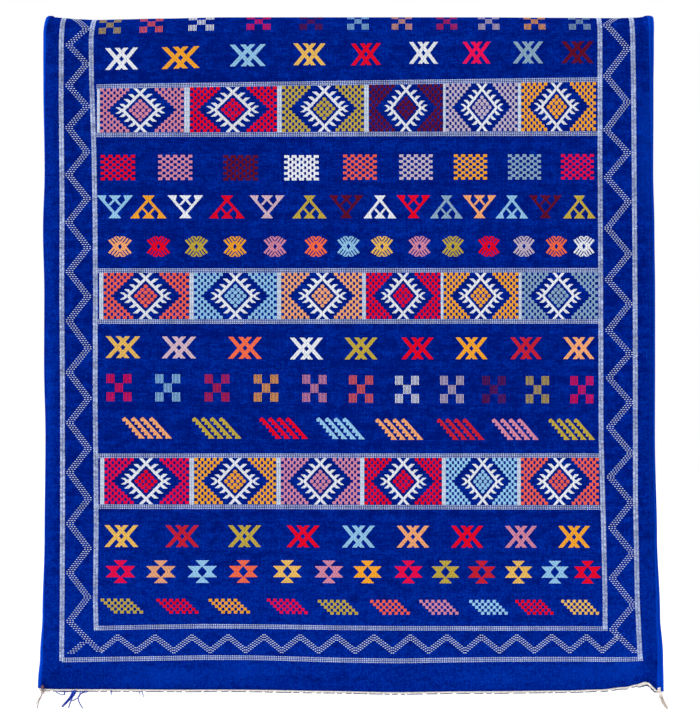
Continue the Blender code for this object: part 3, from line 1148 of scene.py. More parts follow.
def lattice_chart(width, height):
    """The small diamond of bricks inside the medallion, each broadest at its middle."""
    wide, tall = width / NOMINAL_CELL_WIDTH, height / NOMINAL_CELL_HEIGHT
    half_tall = LATTICE_DOWN * tall * LATTICE_HALF_SHARE
    narrow, broad = LATTICE_NARROW * wide, LATTICE_BROAD * wide
    slabs = []
    for first in range(LATTICE):
        for second in range(LATTICE):
            middle = (first - second) * LATTICE_ACROSS * wide
            down = (first + second - (LATTICE - 1)) * LATTICE_DOWN * tall
            ends, sides = (middle - narrow, middle + narrow), (middle - broad, middle + broad)
            slabs.append(Slab(down - half_tall, down, *ends, *sides))
            slabs.append(Slab(down, down + half_tall, *sides, *ends))
    return Chart(slabs, [], half_tall / 2)


# Picks and floats

SEED = 9
random = np.random.default_rng(SEED)
floats = {}

# How far the tone of a motif, a pick, a dash and a line's next row may be from the middle tone
MIDDLE_TONE = 0.5
MOTIF_UNEVEN = 0.10
PICK_UNEVEN = 0.14
BAR_UNEVEN = 0.40
UPRIGHT_DASH_UNEVEN = 0.25
LEVEL_DASH_UNEVEN = 0.30
ZIG_UNEVEN = 0.35
DRIFT_KEPT = 0.82
DRIFT = 0.34


def lay_float(piece, across, along, width, height, tone):
    """Notes one float of yarn, in metres, for the joined mesh of its piece."""
    floats.setdefault(piece, []).append((across, along, width, height, tone))


def merged(spans):
    """Spans that overlap joined into one, from left to right."""
    joined = []
    for start, end in sorted(spans):
        if joined and start <= joined[-1][1]:
            joined[-1][1] = max(joined[-1][1], end)
        else:
            joined.append([start, end])
    return joined


def spans_at(slabs, down):
    """Where the slabs lie on one level pick."""
    spans = []
    for slab in slabs:
        if slab.top <= down < slab.bottom:
            share = (down - slab.top) / (slab.bottom - slab.top)
            left = slab.left_top * (1 - share) + slab.left_bottom * share
            right = slab.right_top * (1 - share) + slab.right_bottom * share
            spans.append((left, right))
    return merged(spans)


def without(spans, holes):
    """The spans with the holes cut out of them."""
    for hole_start, hole_end in holes:
        left = [(start, min(end, hole_start)) for start, end in spans]
        right = [(max(start, hole_end), end) for start, end in spans]
        spans = sorted({span for span in left + right if span[1] > span[0]})
    return spans


def weave(chart, piece, middle_across, middle_along, slope=0.0, stretch=1.0, uneven=PICK_UNEVEN):
    """Lays a chart's floats round one place on the cloth. slope is the rise for each metre across."""
    top = min(slab.top for slab in chart.slabs)
    bottom = max(slab.bottom for slab in chart.slabs)
    picks = max(1, round((bottom - top) / chart.pick))
    height = (bottom - top) / picks
    motif_tone = random.uniform(-MOTIF_UNEVEN, MOTIF_UNEVEN)
    for pick in range(picks):
        down = top + (pick + 0.5) * height
        shift = random.uniform(-HAND_WOBBLE, HAND_WOBBLE)
        tone = motif_tone + random.uniform(-uneven, uneven)
        for start, end in without(spans_at(chart.slabs, down), spans_at(chart.holes, down)):
            start, end = start * stretch, end * stretch
            if end - start < SHORTEST_FLOAT:
                continue
            count = max(1, math.ceil((end - start) / LONGEST_FLOAT))
            width = (end - start) / count
            for step in range(count):
                across = middle_across + (start + (step + 0.5) * width + shift) * MM
                along = middle_along - down * MM + (across - middle_across) * slope
                lay_float(piece, across, along, width * MM, height * MM, MIDDLE_TONE + tone)


# The columns at the field's left and right, and how far aside a row's slope is read
FIELD_LEFT_X = 95.0
FIELD_RIGHT_X = 600.0
SLOPE_REACH = 20.0


def along_row(points, photo_x):
    """A row's height or stretch at one column, from what it is at others."""
    return np.interp(photo_x, *zip(*points))


def row_level(left_value, right_value, photo_x):
    """A band's height at one column of the photograph."""
    return np.interp(photo_x, (FIELD_LEFT_X, FIELD_RIGHT_X), (left_value, right_value))


def row_slope(left_photo_y, right_photo_y):
    """The rise of a slanting row for each metre across."""
    return (left_photo_y - right_photo_y) / (FIELD_RIGHT_X - FIELD_LEFT_X)


def weave_row(row):
    """All motifs of one row."""
    for photo_x, dye in zip(row.photo_x, row.dyes):
        level = along_row(row.levels, photo_x)
        aside = along_row(row.levels, photo_x + SLOPE_REACH)
        stretch = along_row(row.stretches, photo_x)
        place = (photo_across(photo_x), photo_along(level))
        weave(CHARTS[row.motif], "brocade_" + dye, *place, (level - aside) / SLOPE_REACH, stretch)


def moved_along(dyes, steps):
    """The dyes in the same order, but starting this many steps on."""
    return dyes[steps:] + dyes[:steps]


def far_side(row):
    """The row's counterpart on the hidden back leg, its dyes in another order."""
    return row._replace(
        levels=tuple((photo_x, far_y(photo_y)) for photo_x, photo_y in row.levels),
        dyes=moved_along(row.dyes, HIDDEN_ROW_SHIFT),
    )


def far_band(band):
    """The band's counterpart on the hidden back leg."""
    dyes = moved_along([cell.dye for cell in band.cells], HIDDEN_CELL_SHIFT)
    return band._replace(
        top_left_y=far_y(band.bottom_left_y),
        top_right_y=far_y(band.bottom_right_y),
        bottom_left_y=far_y(band.top_left_y),
        bottom_right_y=far_y(band.top_right_y),
        cells=tuple(cell._replace(dye=dye) for cell, dye in zip(band.cells, dyes)),
    )


# Lines of dashes: framing lines, bars, the border and its zigzag, in millimetres. The real dashes
# are half as far apart, too fine for the render, so they are drawn coarser.
LINE_COLUMN_WIDTH = 5.6
LINE_COLUMN_PITCH = 5.9
LINE_ROW_PITCH = 2.9
LINE_ROW_FILL = (0.44, 0.88)
LINE_WOBBLE = 0.3
STRIPE_ROWS = 3
STRIPE_ROW_PITCH = 3.9
STRIPE_ROW_FILL = 0.66
LINE_STRIPE_PITCH = 4.4
LINE_STRIPE_WIDTH = 2.9
FRAME_HALF_HEIGHT = 5.6


def drifting(tone):
    """A tone a little away from the one before it."""
    return MIDDLE_TONE + DRIFT_KEPT * (tone - MIDDLE_TONE) + random.uniform(-DRIFT, DRIFT)


def upright_line(piece, path, columns=2):
    """A line along the warp, in rows of broad dashes. path gives photo_x at each photo_y."""
    ys = [point[1] for point in path]
    xs = [point[0] for point in path]
    along, end = photo_along(ys[-1]), photo_along(ys[0])
    tone = MIDDLE_TONE
    while along < end:
        photo_y = HEM_PHOTO_Y - along / PHOTO_PIXEL
        middle = photo_across(np.interp(photo_y, ys, xs))
        shift = random.uniform(-LINE_WOBBLE, LINE_WOBBLE) * MM
        tone = drifting(tone)
        for column in range(columns):
            off = (column - (columns - 1) / 2) * LINE_COLUMN_PITCH * MM
            height = LINE_ROW_PITCH * random.uniform(*LINE_ROW_FILL) * MM
            own_tone = tone + random.uniform(-UPRIGHT_DASH_UNEVEN, UPRIGHT_DASH_UNEVEN)
            lay_float(piece, middle + off + shift, along, LINE_COLUMN_WIDTH * MM, height, own_tone)
        along += LINE_ROW_PITCH * MM


def level_line(piece, left, right, rows=STRIPE_ROWS):
    """A line along the weft, in rows of upright dashes. left and right are (photo_x, photo_y)."""
    start, end = photo_across(left[0]), photo_across(right[0])
    count = round((end - start) / (LINE_STRIPE_PITCH * MM))
    height = STRIPE_ROW_PITCH * STRIPE_ROW_FILL * MM
    tone = MIDDLE_TONE
    for stripe in range(count):
        share = (stripe + 0.5) / count
        across = start + (end - start) * share
        along = photo_along(left[1] + (right[1] - left[1]) * share)
        tone = drifting(tone)
        for row in range(rows):
            off = (row - (rows - 1) / 2) * STRIPE_ROW_PITCH * MM
            own_tone = tone + random.uniform(-LEVEL_DASH_UNEVEN, LEVEL_DASH_UNEVEN)
            lay_float(piece, across, along + off, LINE_STRIPE_WIDTH * MM, height, own_tone)


ZIG_LINES = 3
ZIG_LINE_PITCH = 6.9
ZIG_FOOT_LINE_PITCH = 5.9
ZIG_DASH = (4.0, 1.95)
ZIG_FOOT_DASH = (3.6, 2.2425)
ZIG_STEP = 4.9
ZIG_SIDE_HALF = 3.4
ZIG_FOOT_HALF = 2.3


def zigzag(piece, points, sideways=False):
    """Three lines of small dashes side by side through the points, or above each other if sideways."""
    for start, end in zip(points, points[1:]):
        run_x, run_y = end[0] - start[0], end[1] - start[1]
        length = abs(run_x if sideways else run_y) * PHOTO_PIXEL / MM
        steps = max(2, round(length / ZIG_STEP))
        for step in range(steps):
            share = (step + 0.5) / steps
            middle = photo_across(start[0] + run_x * share)
            along = photo_along(start[1] + run_y * share)
            for line in range(ZIG_LINES):
                aside = line - (ZIG_LINES - 1) / 2
                tone = MIDDLE_TONE + random.uniform(-ZIG_UNEVEN, ZIG_UNEVEN)
                if sideways:
                    up = along + aside * ZIG_FOOT_LINE_PITCH * MM
                    lay_float(piece, middle, up, ZIG_FOOT_DASH[0] * MM, ZIG_FOOT_DASH[1] * MM, tone)
                else:
                    across = middle + aside * ZIG_LINE_PITCH * MM
                    lay_float(piece, across, along, ZIG_DASH[0] * MM, ZIG_DASH[1] * MM, tone)


def drawn_in(tips, axis, half):
    """The middle line of a zigzag strip, whose outer tips are given, half a strip inside them."""
    middle = sum(tip[axis] for tip in tips) / len(tips)
    turns = []
    for tip in tips:
        turn = list(tip)
        turn[axis] += half if tip[axis] < middle else -half
        turns.append(Point(*turn))
    return tuple(turns)


# Where the bands' framing lines start and end, and a bar's half width as a share of its gap
BAND_LEFT_X = 96.2
BAND_RIGHT_X = 601.5
BAR_HALF_SHARE = 0.47


def inside_frame(band, photo_x):
    """Where a band's cells have their middle along the cloth, and their height in millimetres."""
    top = row_level(band.top_left_y, band.top_right_y, photo_x)
    bottom = row_level(band.bottom_left_y, band.bottom_right_y, photo_x)
    return photo_along((top + bottom) / 2), (bottom - top) * PHOTO_PIXEL / MM - 2 * FRAME_HALF_HEIGHT


def weave_band(band):
    """The two framing lines, the bars and the six cells of one band."""
    frame_lines = ((band.top_left_y, band.top_right_y), (band.bottom_left_y, band.bottom_right_y))
    for left_y, right_y in frame_lines:
        level_line("band_frames", (BAND_LEFT_X, left_y), (BAND_RIGHT_X, right_y))
    slope = sum(row_slope(left_y, right_y) for left_y, right_y in frame_lines) / 2
    for cell in band.cells:
        middle_x = (cell.left_photo_x + cell.right_photo_x) / 2
        middle_along, height = inside_frame(band, middle_x)
        width = (cell.right_photo_x - cell.left_photo_x) * PHOTO_PIXEL / MM
        centre_dye = CENTRE_DYES.get(cell.dye, cell.dye)
        place = (photo_across(cell.middle_photo_x), middle_along, slope)
        weave(brick_fields(width, height), "brocade_" + cell.dye, photo_across(middle_x), middle_along, slope)
        weave(medallion_chart(width, height), "medallions", *place)
        weave(lattice_chart(width, height), "brocade_" + centre_dye, *place)
    bar_starts = [band.first_bar_x] + [cell.right_photo_x for cell in band.cells]
    for start, cell in zip(bar_starts, band.cells):
        middle_x = (start + cell.left_photo_x) / 2
        middle_along, height = inside_frame(band, middle_x)
        half_width = (cell.left_photo_x - start) * PHOTO_PIXEL / MM * BAR_HALF_SHARE
        bar = Chart([block(-height / 2, height / 2, -half_width, half_width)], [], PICK)
        weave(bar, "band_bars", photo_across(middle_x), middle_along, slope, uneven=BAR_UNEVEN)


# The border, as photo_x and photo_y read off the photograph
Point = namedtuple("Point", "photo_x photo_y")


def path_through(*places):
    """A path through places of the photograph."""
    return tuple(Point(*place) for place in places)


FAR_OUTER_Y = far_y(659.5)
FAR_INNER_Y = far_y(627.0)
FAR_OUTER_FOOT = path_through((62.0, FAR_OUTER_Y), (636.0, FAR_OUTER_Y))
FAR_INNER_FOOT = path_through((90.5, FAR_INNER_Y), (602.0, FAR_INNER_Y))
LEFT_OUTER = path_through(
    (61.5, FAR_OUTER_Y), (62.9, 4.0), (61.4, 40.0), (61.1, 100.0), (62.1, 200.0),
    (61.8, 300.0), (62.6, 400.0), (62.6, 500.0), (62.3, 600.0), (61.7, 660.0),
)
LEFT_INNER = path_through(
    (90.5, FAR_INNER_Y), (93.6, 6.0), (91.0, 40.0), (91.3, 75.0), (93.9, 150.0), (95.1, 220.0),
    (95.4, 300.0), (95.2, 400.0), (96.3, 520.0), (95.4, 600.0), (96.2, 629.0),
)
RIGHT_INNER = path_through(
    (600.0, FAR_INNER_Y), (600.0, 60.0), (600.0, 150.0), (600.6, 255.0),
    (601.2, 440.0), (603.4, 520.0), (605.2, 600.0), (605.2, 629.0),
)
RIGHT_OUTER = path_through(
    (633.0, FAR_OUTER_Y), (632.4, 20.0), (633.4, 80.0), (634.4, 200.0), (635.2, 320.0),
    (635.4, 500.0), (637.2, 600.0), (640.0, 660.0),
)
OUTER_FOOT = path_through(
    (62.0, 659.6), (120.0, 658.6), (200.0, 657.2), (250.0, 657.5), (340.0, 659.2),
    (400.0, 659.8), (500.0, 658.6), (580.0, 658.8), (643.0, 659.9),
)
INNER_FOOT = path_through(
    (93.8, 628.3), (150.0, 626.9), (200.0, 626.2), (300.0, 627.2), (400.0, 628.3), (608.0, 628.7),
)
LEFT_TURNS = path_through(
    (90.0, 28.6), (65.0, 44.7), (90.0, 63.8), (65.0, 85.4), (90.5, 106.4), (65.0, 127.6), (90.5, 151.8),
    (65.0, 174.7), (91.0, 198.4), (65.0, 222.3), (91.5, 247.7), (65.5, 271.5), (91.5, 296.4),
    (65.5, 320.8), (92.0, 347.8), (65.5, 372.3), (92.0, 398.5), (66.0, 422.7), (92.0, 448.5),
    (66.0, 472.3), (92.0, 498.7), (66.0, 523.6), (92.0, 548.5), (66.0, 572.7), (91.5, 597.0),
    (66.0, 621.3), (104.0, 652.0),
)
LEFT_BRANCH = path_through((84.5, 641.5), (70.0, 653.8))
RIGHT_TURNS = path_through(
    (603.5, 24.0), (631.0, 48.4), (603.5, 76.3), (631.0, 102.0), (604.0, 129.8), (631.5, 152.6),
    (604.5, 177.6), (632.0, 201.8), (605.0, 228.2), (632.5, 253.9), (605.5, 279.6), (633.0, 303.8),
    (606.0, 330.4), (633.5, 353.6), (606.5, 377.8), (634.0, 402.4), (607.0, 427.4), (634.5, 453.0),
    (607.5, 477.0), (635.0, 502.3), (608.0, 527.6), (636.0, 553.0), (608.5, 578.3), (637.0, 604.9),
    (609.0, 629.7), (640.0, 653.6),
)
# How much further left the right zigzag's left-hand tips reach, down to two rows of the photograph
TipReach = namedtuple("TipReach", "down_to_y reach")
TIP_REACHES = (TipReach(100.0, 0.6), TipReach(520.0, 1.0))
FOOT_LOW_Y = 653.0
FOOT_HIGH_Y = 634.5
FOOT_TURNS_X = (
    100.6, 117.7, 136.4, 155.1, 173.8, 192.0, 210.1, 228.0, 245.6, 264.1, 281.7, 300.3, 318.6, 336.8, 355.3,
    374.0, 392.5, 410.5, 428.7, 447.0, 464.9, 481.5, 499.4, 516.8, 534.5, 551.9, 569.9, 586.8, 602.5, 618.0,
)
HIDDEN_HALF_TURN = 24.6


def hidden_turns(turns, far_y):
    """The zigzag carried on from its first turn up over the fold and down the back leg."""
    first, second = turns[0], turns[1]
    points = []
    photo_y, at_second = first.photo_y, True
    while photo_y - HIDDEN_HALF_TURN > far_y:
        photo_y -= HIDDEN_HALF_TURN
        points.append(Point(second.photo_x if at_second else first.photo_x, photo_y))
        at_second = not at_second
    return tuple(reversed(points)) + turns


def reaching_left(turns):
    """The turns of a zigzag that starts at its left, with its left-hand tips set further out."""
    moved = []
    for number, turn in enumerate(turns):
        reaches = [entry.reach for entry in TIP_REACHES if turn.photo_y < entry.down_to_y]
        if number % 2 == 0 and reaches:
            turn = turn._replace(photo_x=turn.photo_x - reaches[0])
        moved.append(turn)
    return tuple(moved)


def foot_turns():
    """The turns of the zigzag along the foot of the border, which starts low at its left."""
    levels = (FOOT_LOW_Y, FOOT_HIGH_Y)
    return tuple(Point(photo_x, levels[number % 2]) for number, photo_x in enumerate(FOOT_TURNS_X))


def weave_border():
    """The double frame round the field with the zigzag between its lines."""
    for path in (LEFT_OUTER, LEFT_INNER, RIGHT_INNER, RIGHT_OUTER):
        upright_line("border_lines", path)
    for path in (OUTER_FOOT, INNER_FOOT, FAR_OUTER_FOOT, FAR_INNER_FOOT):
        for left, right in zip(path, path[1:]):
            level_line("border_lines", left, right)
    for tips in (LEFT_TURNS, reaching_left(RIGHT_TURNS)):
        zigzag("border_zigzag", drawn_in(hidden_turns(tips, FAR_INNER_Y), 0, ZIG_SIDE_HALF))
    zigzag("border_zigzag", LEFT_BRANCH)
    foot = drawn_in(foot_turns(), 1, ZIG_FOOT_HALF)
    far_foot = [Point(turn.photo_x, far_y(turn.photo_y)) for turn in foot]
    zigzag("border_zigzag", foot, sideways=True)
    zigzag("border_zigzag", far_foot, sideways=True)


def float_shape():
    """One float: a low roof with hipped ends, one unit across, along and high."""
    shape = bmesh.new()
    bmesh.ops.create_cube(shape, size=1.0)
    bmesh.ops.translate(shape, verts=shape.verts, vec=(0, 0, 0.5))
    ridge = [vertex for vertex in shape.verts if vertex.co.z > 0.5]
    bmesh.ops.scale(shape, verts=ridge, vec=(FLOAT_RIDGE, 0.0, 1.0))
    bmesh.ops.remove_doubles(shape, verts=shape.verts, dist=0.001)
    mesh = bpy.data.meshes.new("one float")
    shape.to_mesh(mesh)
    shape.free()
    points = np.array([vertex.co for vertex in mesh.vertices])
    faces = [tuple(face.vertices) for face in mesh.polygons]
    bpy.data.meshes.remove(mesh)
    return points, faces


def make_floats(piece, material):
    """All floats of one piece as one joined mesh that follows the cloth."""
    points, faces = float_shape()
    across, along, width, height, tone = np.array(floats[piece]).T
    place_across = across[:, None] + points[None, :, 0] * width[:, None] * FLOAT_LENGTHEN
    place_along = along[:, None] + points[None, :, 1] * height[:, None] * PICK_OVERLAP
    lift = CLOTH_THICKNESS / 2 + (points[:, 2] * (FLOAT_SUNK + FLOAT_PROUD) - FLOAT_SUNK) * MM
    lift = np.broadcast_to(lift, place_across.shape)
    placed = on_cloth(place_across.ravel(), place_along.ravel(), lift.ravel())
    step = len(points)
    joined = []
    for base in range(0, len(placed), step):
        joined += [tuple(corner + base for corner in face) for face in faces]
    mesh = bpy.data.meshes.new(piece)
    mesh.from_pydata(placed.tolist(), [], joined)
    layer = mesh.attributes.new("tone", "FLOAT", "POINT")
    layer.data.foreach_set("value", np.repeat(tone, step).astype(np.float32))
    return linked(piece, mesh, material)


def make_brocade():
    """Every woven-in motif, line and border: one joined mesh for each dye or kind of line."""
    for row in ROWS:
        weave_row(row)
        if row.motif in HIDDEN_ROWS and row.levels[0][1] > FIRST_HIDDEN_SOURCE_Y:
            weave_row(far_side(row))
    for band in BANDS:
        weave_band(band)
    weave_band(far_band(BANDS[-1]))
    weave_border()
    dyes = {
        "medallions": "white",
        "band_bars": "pale_bar",
        "band_frames": "pale_line",
        "border_lines": "pale_line",
        "border_zigzag": "pale_bar",
    }
    wools = {dye: brocade_wool(dye) for dye in DYES}
    made = []
    for piece in sorted(floats):
        dye = dyes.get(piece, piece.replace("brocade_", ""))
        made.append(make_floats(piece, wools[dye]))
    return made


# Cords and loose ends

def ply(path, phase, offset):
    """A ply's own path, winding round a yarn's path."""
    turned, length = [], 0.0
    for index, point in enumerate(path):
        before, after = path[max(0, index - 1)], path[min(len(path) - 1, index + 1)]
        tangent = (after - before).normalized()
        side = tangent.cross(Vector((0, 1, 0))).normalized()
        front = side.cross(tangent)
        if index:
            length += (point - path[index - 1]).length
        angle = phase + length / PLY_TURN * 2 * math.pi
        turned.append(point + (side * math.cos(angle) + front * math.sin(angle)) * offset)
    return turned


def tubes(name, strands, material):
    """Closed round tubes as one mesh. Each strand is its points and their radii."""
    curve = bpy.data.curves.new(name, "CURVE")
    curve.dimensions = "3D"
    curve.bevel_depth = 1.0
    curve.bevel_resolution = 1
    curve.use_fill_caps = True
    for points, radii in strands:
        spline = curve.splines.new("POLY")
        spline.points.add(len(points) - 1)
        for target, point, radius in zip(spline.points, points, radii):
            target.co = (*point, 1.0)
            target.radius = radius
    holder = bpy.data.objects.new(name + "_curve", curve)
    bpy.context.scene.collection.objects.link(holder)
    bpy.context.view_layer.update()
    graph = bpy.context.evaluated_depsgraph_get()
    mesh = bpy.data.meshes.new_from_object(holder.evaluated_get(graph))
    bpy.data.objects.remove(holder, do_unlink=True)
    shape = bmesh.new()
    shape.from_mesh(mesh)
    bmesh.ops.remove_doubles(shape, verts=shape.verts, dist=0.000005)
    bmesh.ops.recalc_face_normals(shape, faces=shape.faces)
    shape.to_mesh(mesh)
    shape.free()
    mesh.name = name
    mesh.materials.clear()
    return linked(name, mesh, material)


def twisted(path, radii, plies=2):
    """The strands of a twisted yarn along a path."""
    strands = []
    for number in range(plies):
        phase = 2 * math.pi * number / plies
        strands.append((ply(path, phase, radii[0] * PLY_OFFSET), radii))
    return strands


def hem_path(along, drop, reach):
    """A line just outside one hem, from selvedge to selvedge, this far off the cloth's edge."""
    count = round(2 * reach / HEM_STEP)
    across = np.linspace(-reach, reach, count + 1)
    points = middle_surface(across, np.full_like(across, along))
    run = np.gradient(points, axis=0)
    off = np.column_stack((run[:, 2], np.zeros(len(run)), -run[:, 0]))
    points += off / np.linalg.norm(off, axis=1)[:, None] * drop
    return [Vector(point) for point in points]


def make_hem_cord(name, along, reach, material):
    """The twined warp ends that lock one hem."""
    path = hem_path(along, HEM_CORD_DROP, reach)
    return tubes(name, twisted(path, [PLY_RADIUS] * len(path)), material)


def make_hem_thread(name, along, reach, material):
    """A darker thread that runs in and out under the twined ends, so that it shows in stretches."""
    path = hem_path(along, THREAD_DROP, reach)
    strands, start = [], THREAD_GAP[0]
    while start < len(path) - THREAD_RUN[1]:
        run = int(random.integers(*THREAD_RUN))
        strands.append((path[start:start + run], [THREAD_RADIUS] * run))
        start += run + int(random.integers(*THREAD_GAP))
    return tubes(name, strands, material)


# Loose ends, through places read off the photograph: a yarn's ply radius, how far it stands out
# from the hem's plane, how much of its width is left at its tip, and its places downwards
Yarn = namedtuple("Yarn", "radius forward tip_share places")
LEFT_TAIL = (
    Yarn(0.0011, 0.0005, 0.6, ((42.5, 693.0), (40.4, 697.8), (38.4, 702.5), (37.3, 708.4))),
    Yarn(0.0007, -0.0020, 0.5, ((42.2, 693.5), (39.4, 698.3), (36.9, 702.0), (35.6, 704.8))),
    Yarn(0.0013, 0.0030, 0.9, ((40.9, 689.4), (43.4, 690.3), (46.4, 689.9))),
)
RIGHT_TAIL = (
    Yarn(0.0028, 0.0000, 0.4, ((660.5, 695.0), (661.6, 698.5), (663.6, 702.8), (666.8, 708.4))),
    Yarn(0.0009, 0.0025, 0.5, ((660.9, 696.0), (663.2, 700.0), (665.6, 704.0), (668.0, 707.8))),
    Yarn(0.0009, -0.0025, 0.5, ((660.3, 696.0), (661.4, 701.0), (663.2, 704.6), (665.2, 707.4))),
)
RIGHT_LOOP = (
    Yarn(0.0023, 0.0055, 0.8, ((658.6, 687.6), (658.9, 690.0), (659.9, 693.0), (660.9, 695.6))),
    Yarn(
        0.0017, 0.0030, 0.9,
        ((637.5, 685.4), (641.6, 684.3), (645.6, 683.0), (648.4, 683.6), (651.8, 686.8), (655.6, 690.6)),
    ),
)
LOOSE_YARN = (
    Yarn(0.0024, 0.0040, 0.5, ((75.6, 690.6), (73.6, 694.6), (69.6, 699.0), (65.4, 703.4), (62.2, 706.6))),
    Yarn(0.0018, 0.0055, 0.5, ((73.4, 690.8), (71.4, 695.4), (67.8, 700.2), (64.6, 703.8))),
    Yarn(0.0012, 0.0060, 0.6, ((76.0, 690.8), (73.0, 696.4), (70.8, 701.6), (68.9, 707.6))),
    Yarn(
        0.0010, 0.0015, 0.7,
        (
            (88.0, 691.4), (83.4, 692.4), (80.0, 694.4), (78.4, 697.2),
            (78.8, 700.8), (80.6, 704.6), (83.0, 708.2),
        ),
    ),
    Yarn(0.0009, -0.0010, 0.7, ((80.4, 694.4), (78.0, 697.6), (74.6, 699.8), (71.6, 700.8))),
    Yarn(0.0007, 0.0025, 0.8, ((56.0, 691.6), (59.0, 693.4), (62.0, 694.6), (64.4, 694.0), (65.2, 691.6))),
    Yarn(0.0009, 0.0010, 0.8, ((64.8, 691.0), (64.7, 693.0), (64.9, 695.0))),
    Yarn(0.0009, -0.0030, 0.9, ((56.0, 691.2), (64.0, 691.9), (72.0, 691.6), (80.0, 691.9), (89.0, 691.2))),
    Yarn(0.0007, 0.0000, 0.8, ((80.6, 690.8), (80.2, 692.6), (79.6, 694.2))),
)
SHORT_ENDS = (
    Yarn(0.0009, 0.0010, 0.8, ((111.4, 690.0), (111.3, 692.2), (111.5, 694.4))),
    Yarn(0.0007, 0.0000, 0.7, ((139.8, 690.0), (139.6, 692.4), (140.2, 694.6))),
    Yarn(0.0008, 0.0010, 0.7, ((142.4, 690.0), (142.8, 693.4), (143.6, 696.6))),
    Yarn(0.0006, -0.0010, 0.7, ((170.0, 690.8), (177.0, 691.4), (185.0, 690.8))),
)
# A dark thread under the cord's right slope, drawn as thick as the dark line there: partly a thread, partly
# painted shadow beneath the cord.
CORNER_THREAD_AND_SHADOW = (
    Yarn(
        0.0015, 0.0005, 1.0,
        ((638.0, 686.6), (642.0, 685.8), (645.6, 684.9), (648.6, 685.6), (652.0, 688.8), (655.2, 691.8)),
    ),
)
YARN_STEPS = 7

# Knots: their places in the photograph, how far they stand out from the hem's plane, and how far
# they reach to each side and up and down
Knot = namedtuple("Knot", "photo_x photo_y forward half_across half_down")
LEFT_KNOT = Knot(42.8, 692.4, 0.0, 0.0046, 0.0044)
FRONT_KNOT = Knot(42.6, 686.6, 0.0045, 0.0040, 0.0042)
RIGHT_KNOTS = (Knot(657.6, 690.8, 0.001, 0.0036, 0.0034), Knot(660.6, 695.6, 0.0, 0.0042, 0.0036))
KNOT_RADIUS = 0.0017
KNOT_TURNS = 2.5
KNOT_TURN_STEPS = 14
KNOT_OPEN_SHARE = 0.15


def curve_through(values):
    """A smooth curve through a column of values."""
    values = np.asarray(values, float)
    slopes = np.gradient(values)
    at = np.linspace(0, len(values) - 1, YARN_STEPS * (len(values) - 1) + 1)
    low = np.minimum(at.astype(int), len(values) - 2)
    share = at - low
    ahead = ease(share)
    leaving = slopes[low] * share * (1 - share) ** 2
    arriving = slopes[low + 1] * share**2 * (share - 1)
    return values[low] * (1 - ahead) + values[low + 1] * ahead + leaving + arriving


def yarn_strands(yarns, plane_y):
    """The plies of loose ends that hang in front of or behind one upright plane."""
    strands = []
    for yarn in yarns:
        across = curve_through(photo_across([place[0] for place in yarn.places]))
        height = curve_through(photo_along([place[1] for place in yarn.places]) - FRONT_DROP)
        path = [Vector((x, plane_y - yarn.forward, z)) for x, z in zip(across, height)]
        radii = list(np.linspace(yarn.radius, yarn.radius * yarn.tip_share, len(path)))
        strands += twisted(path, radii)
    return strands


def knot_coil(knot, plane_y):
    """Yarn wound round itself where it is knotted, narrowest at its top and foot."""
    height = photo_along(knot.photo_y) - FRONT_DROP
    middle = Vector((photo_across(knot.photo_x), plane_y - knot.forward, height))
    steps = round(KNOT_TURNS * KNOT_TURN_STEPS)
    points = []
    for step in range(steps + 1):
        share = step / steps
        angle = 2 * math.pi * KNOT_TURNS * share
        opened = KNOT_OPEN_SHARE + (1 - 2 * KNOT_OPEN_SHARE) * share
        belly = math.sin(math.pi * opened) * (knot.half_across - KNOT_RADIUS)
        drop = (0.5 - share) * 2 * (knot.half_down - KNOT_RADIUS)
        points.append(middle + Vector((math.cos(angle) * belly, math.sin(angle) * belly, drop)))
    return points, [KNOT_RADIUS] * len(points)


def plane_of(node):
    """How far back a hem's loose end hangs."""
    low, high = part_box(node)
    return (low.y + high.y) / 2


def make_left_tail(material):
    """The knotted tail of warp ends at the left corner."""
    plane_y = plane_of("left_corner_tail")
    strands = [knot_coil(LEFT_KNOT, plane_y)] + yarn_strands(LEFT_TAIL, plane_y)
    return tubes("left_knotted_tail", strands, material)


def make_front_knot(material):
    """A small dark knot on the front of the cloth, just above the left tail."""
    return tubes("left_front_knot", [knot_coil(FRONT_KNOT, plane_of("left_corner_tail"))], material)


def make_right_tail(material):
    """The knotted tail of warp ends at the right corner."""
    plane_y = plane_of("right_corner_tail")
    knots = [knot_coil(knot, plane_y) for knot in RIGHT_KNOTS]
    return tubes("right_knotted_tail", knots + yarn_strands(RIGHT_TAIL, plane_y), material)


# The photograph's setting

FRONT_SKY_STRENGTH = 0.42
SKY_FADE_FROM = -0.5
SKY_FADE_TO = 0.4
LAMP_STRENGTH = 2.15
LAMP_DIRECTION = (0.50, 0.62, -1.0)
LAMP_WIDTH_DEGREES = 14
FLOOR_HEIGHT = -1.95
FLOOR_HALF_WIDTH = 18.0
FLOOR_WHITE = "#fafafa"


def make_floor():
    """A plain pale studio floor."""
    shape = bmesh.new()
    bmesh.ops.create_grid(shape, x_segments=1, y_segments=1, size=FLOOR_HALF_WIDTH)
    bmesh.ops.translate(shape, verts=shape.verts, vec=(0, 0, FLOOR_HEIGHT))
    mesh = bpy.data.meshes.new("studio_floor")
    shape.to_mesh(mesh)
    shape.free()
    material, shader = new_material("matt_white_floor")
    matt = {"Base Color": linear(FLOOR_WHITE), "Roughness": 1.0, "Specular IOR Level": 0.0}
    connect(material, shader, matt)
    floor = linked("studio_floor", mesh, material)


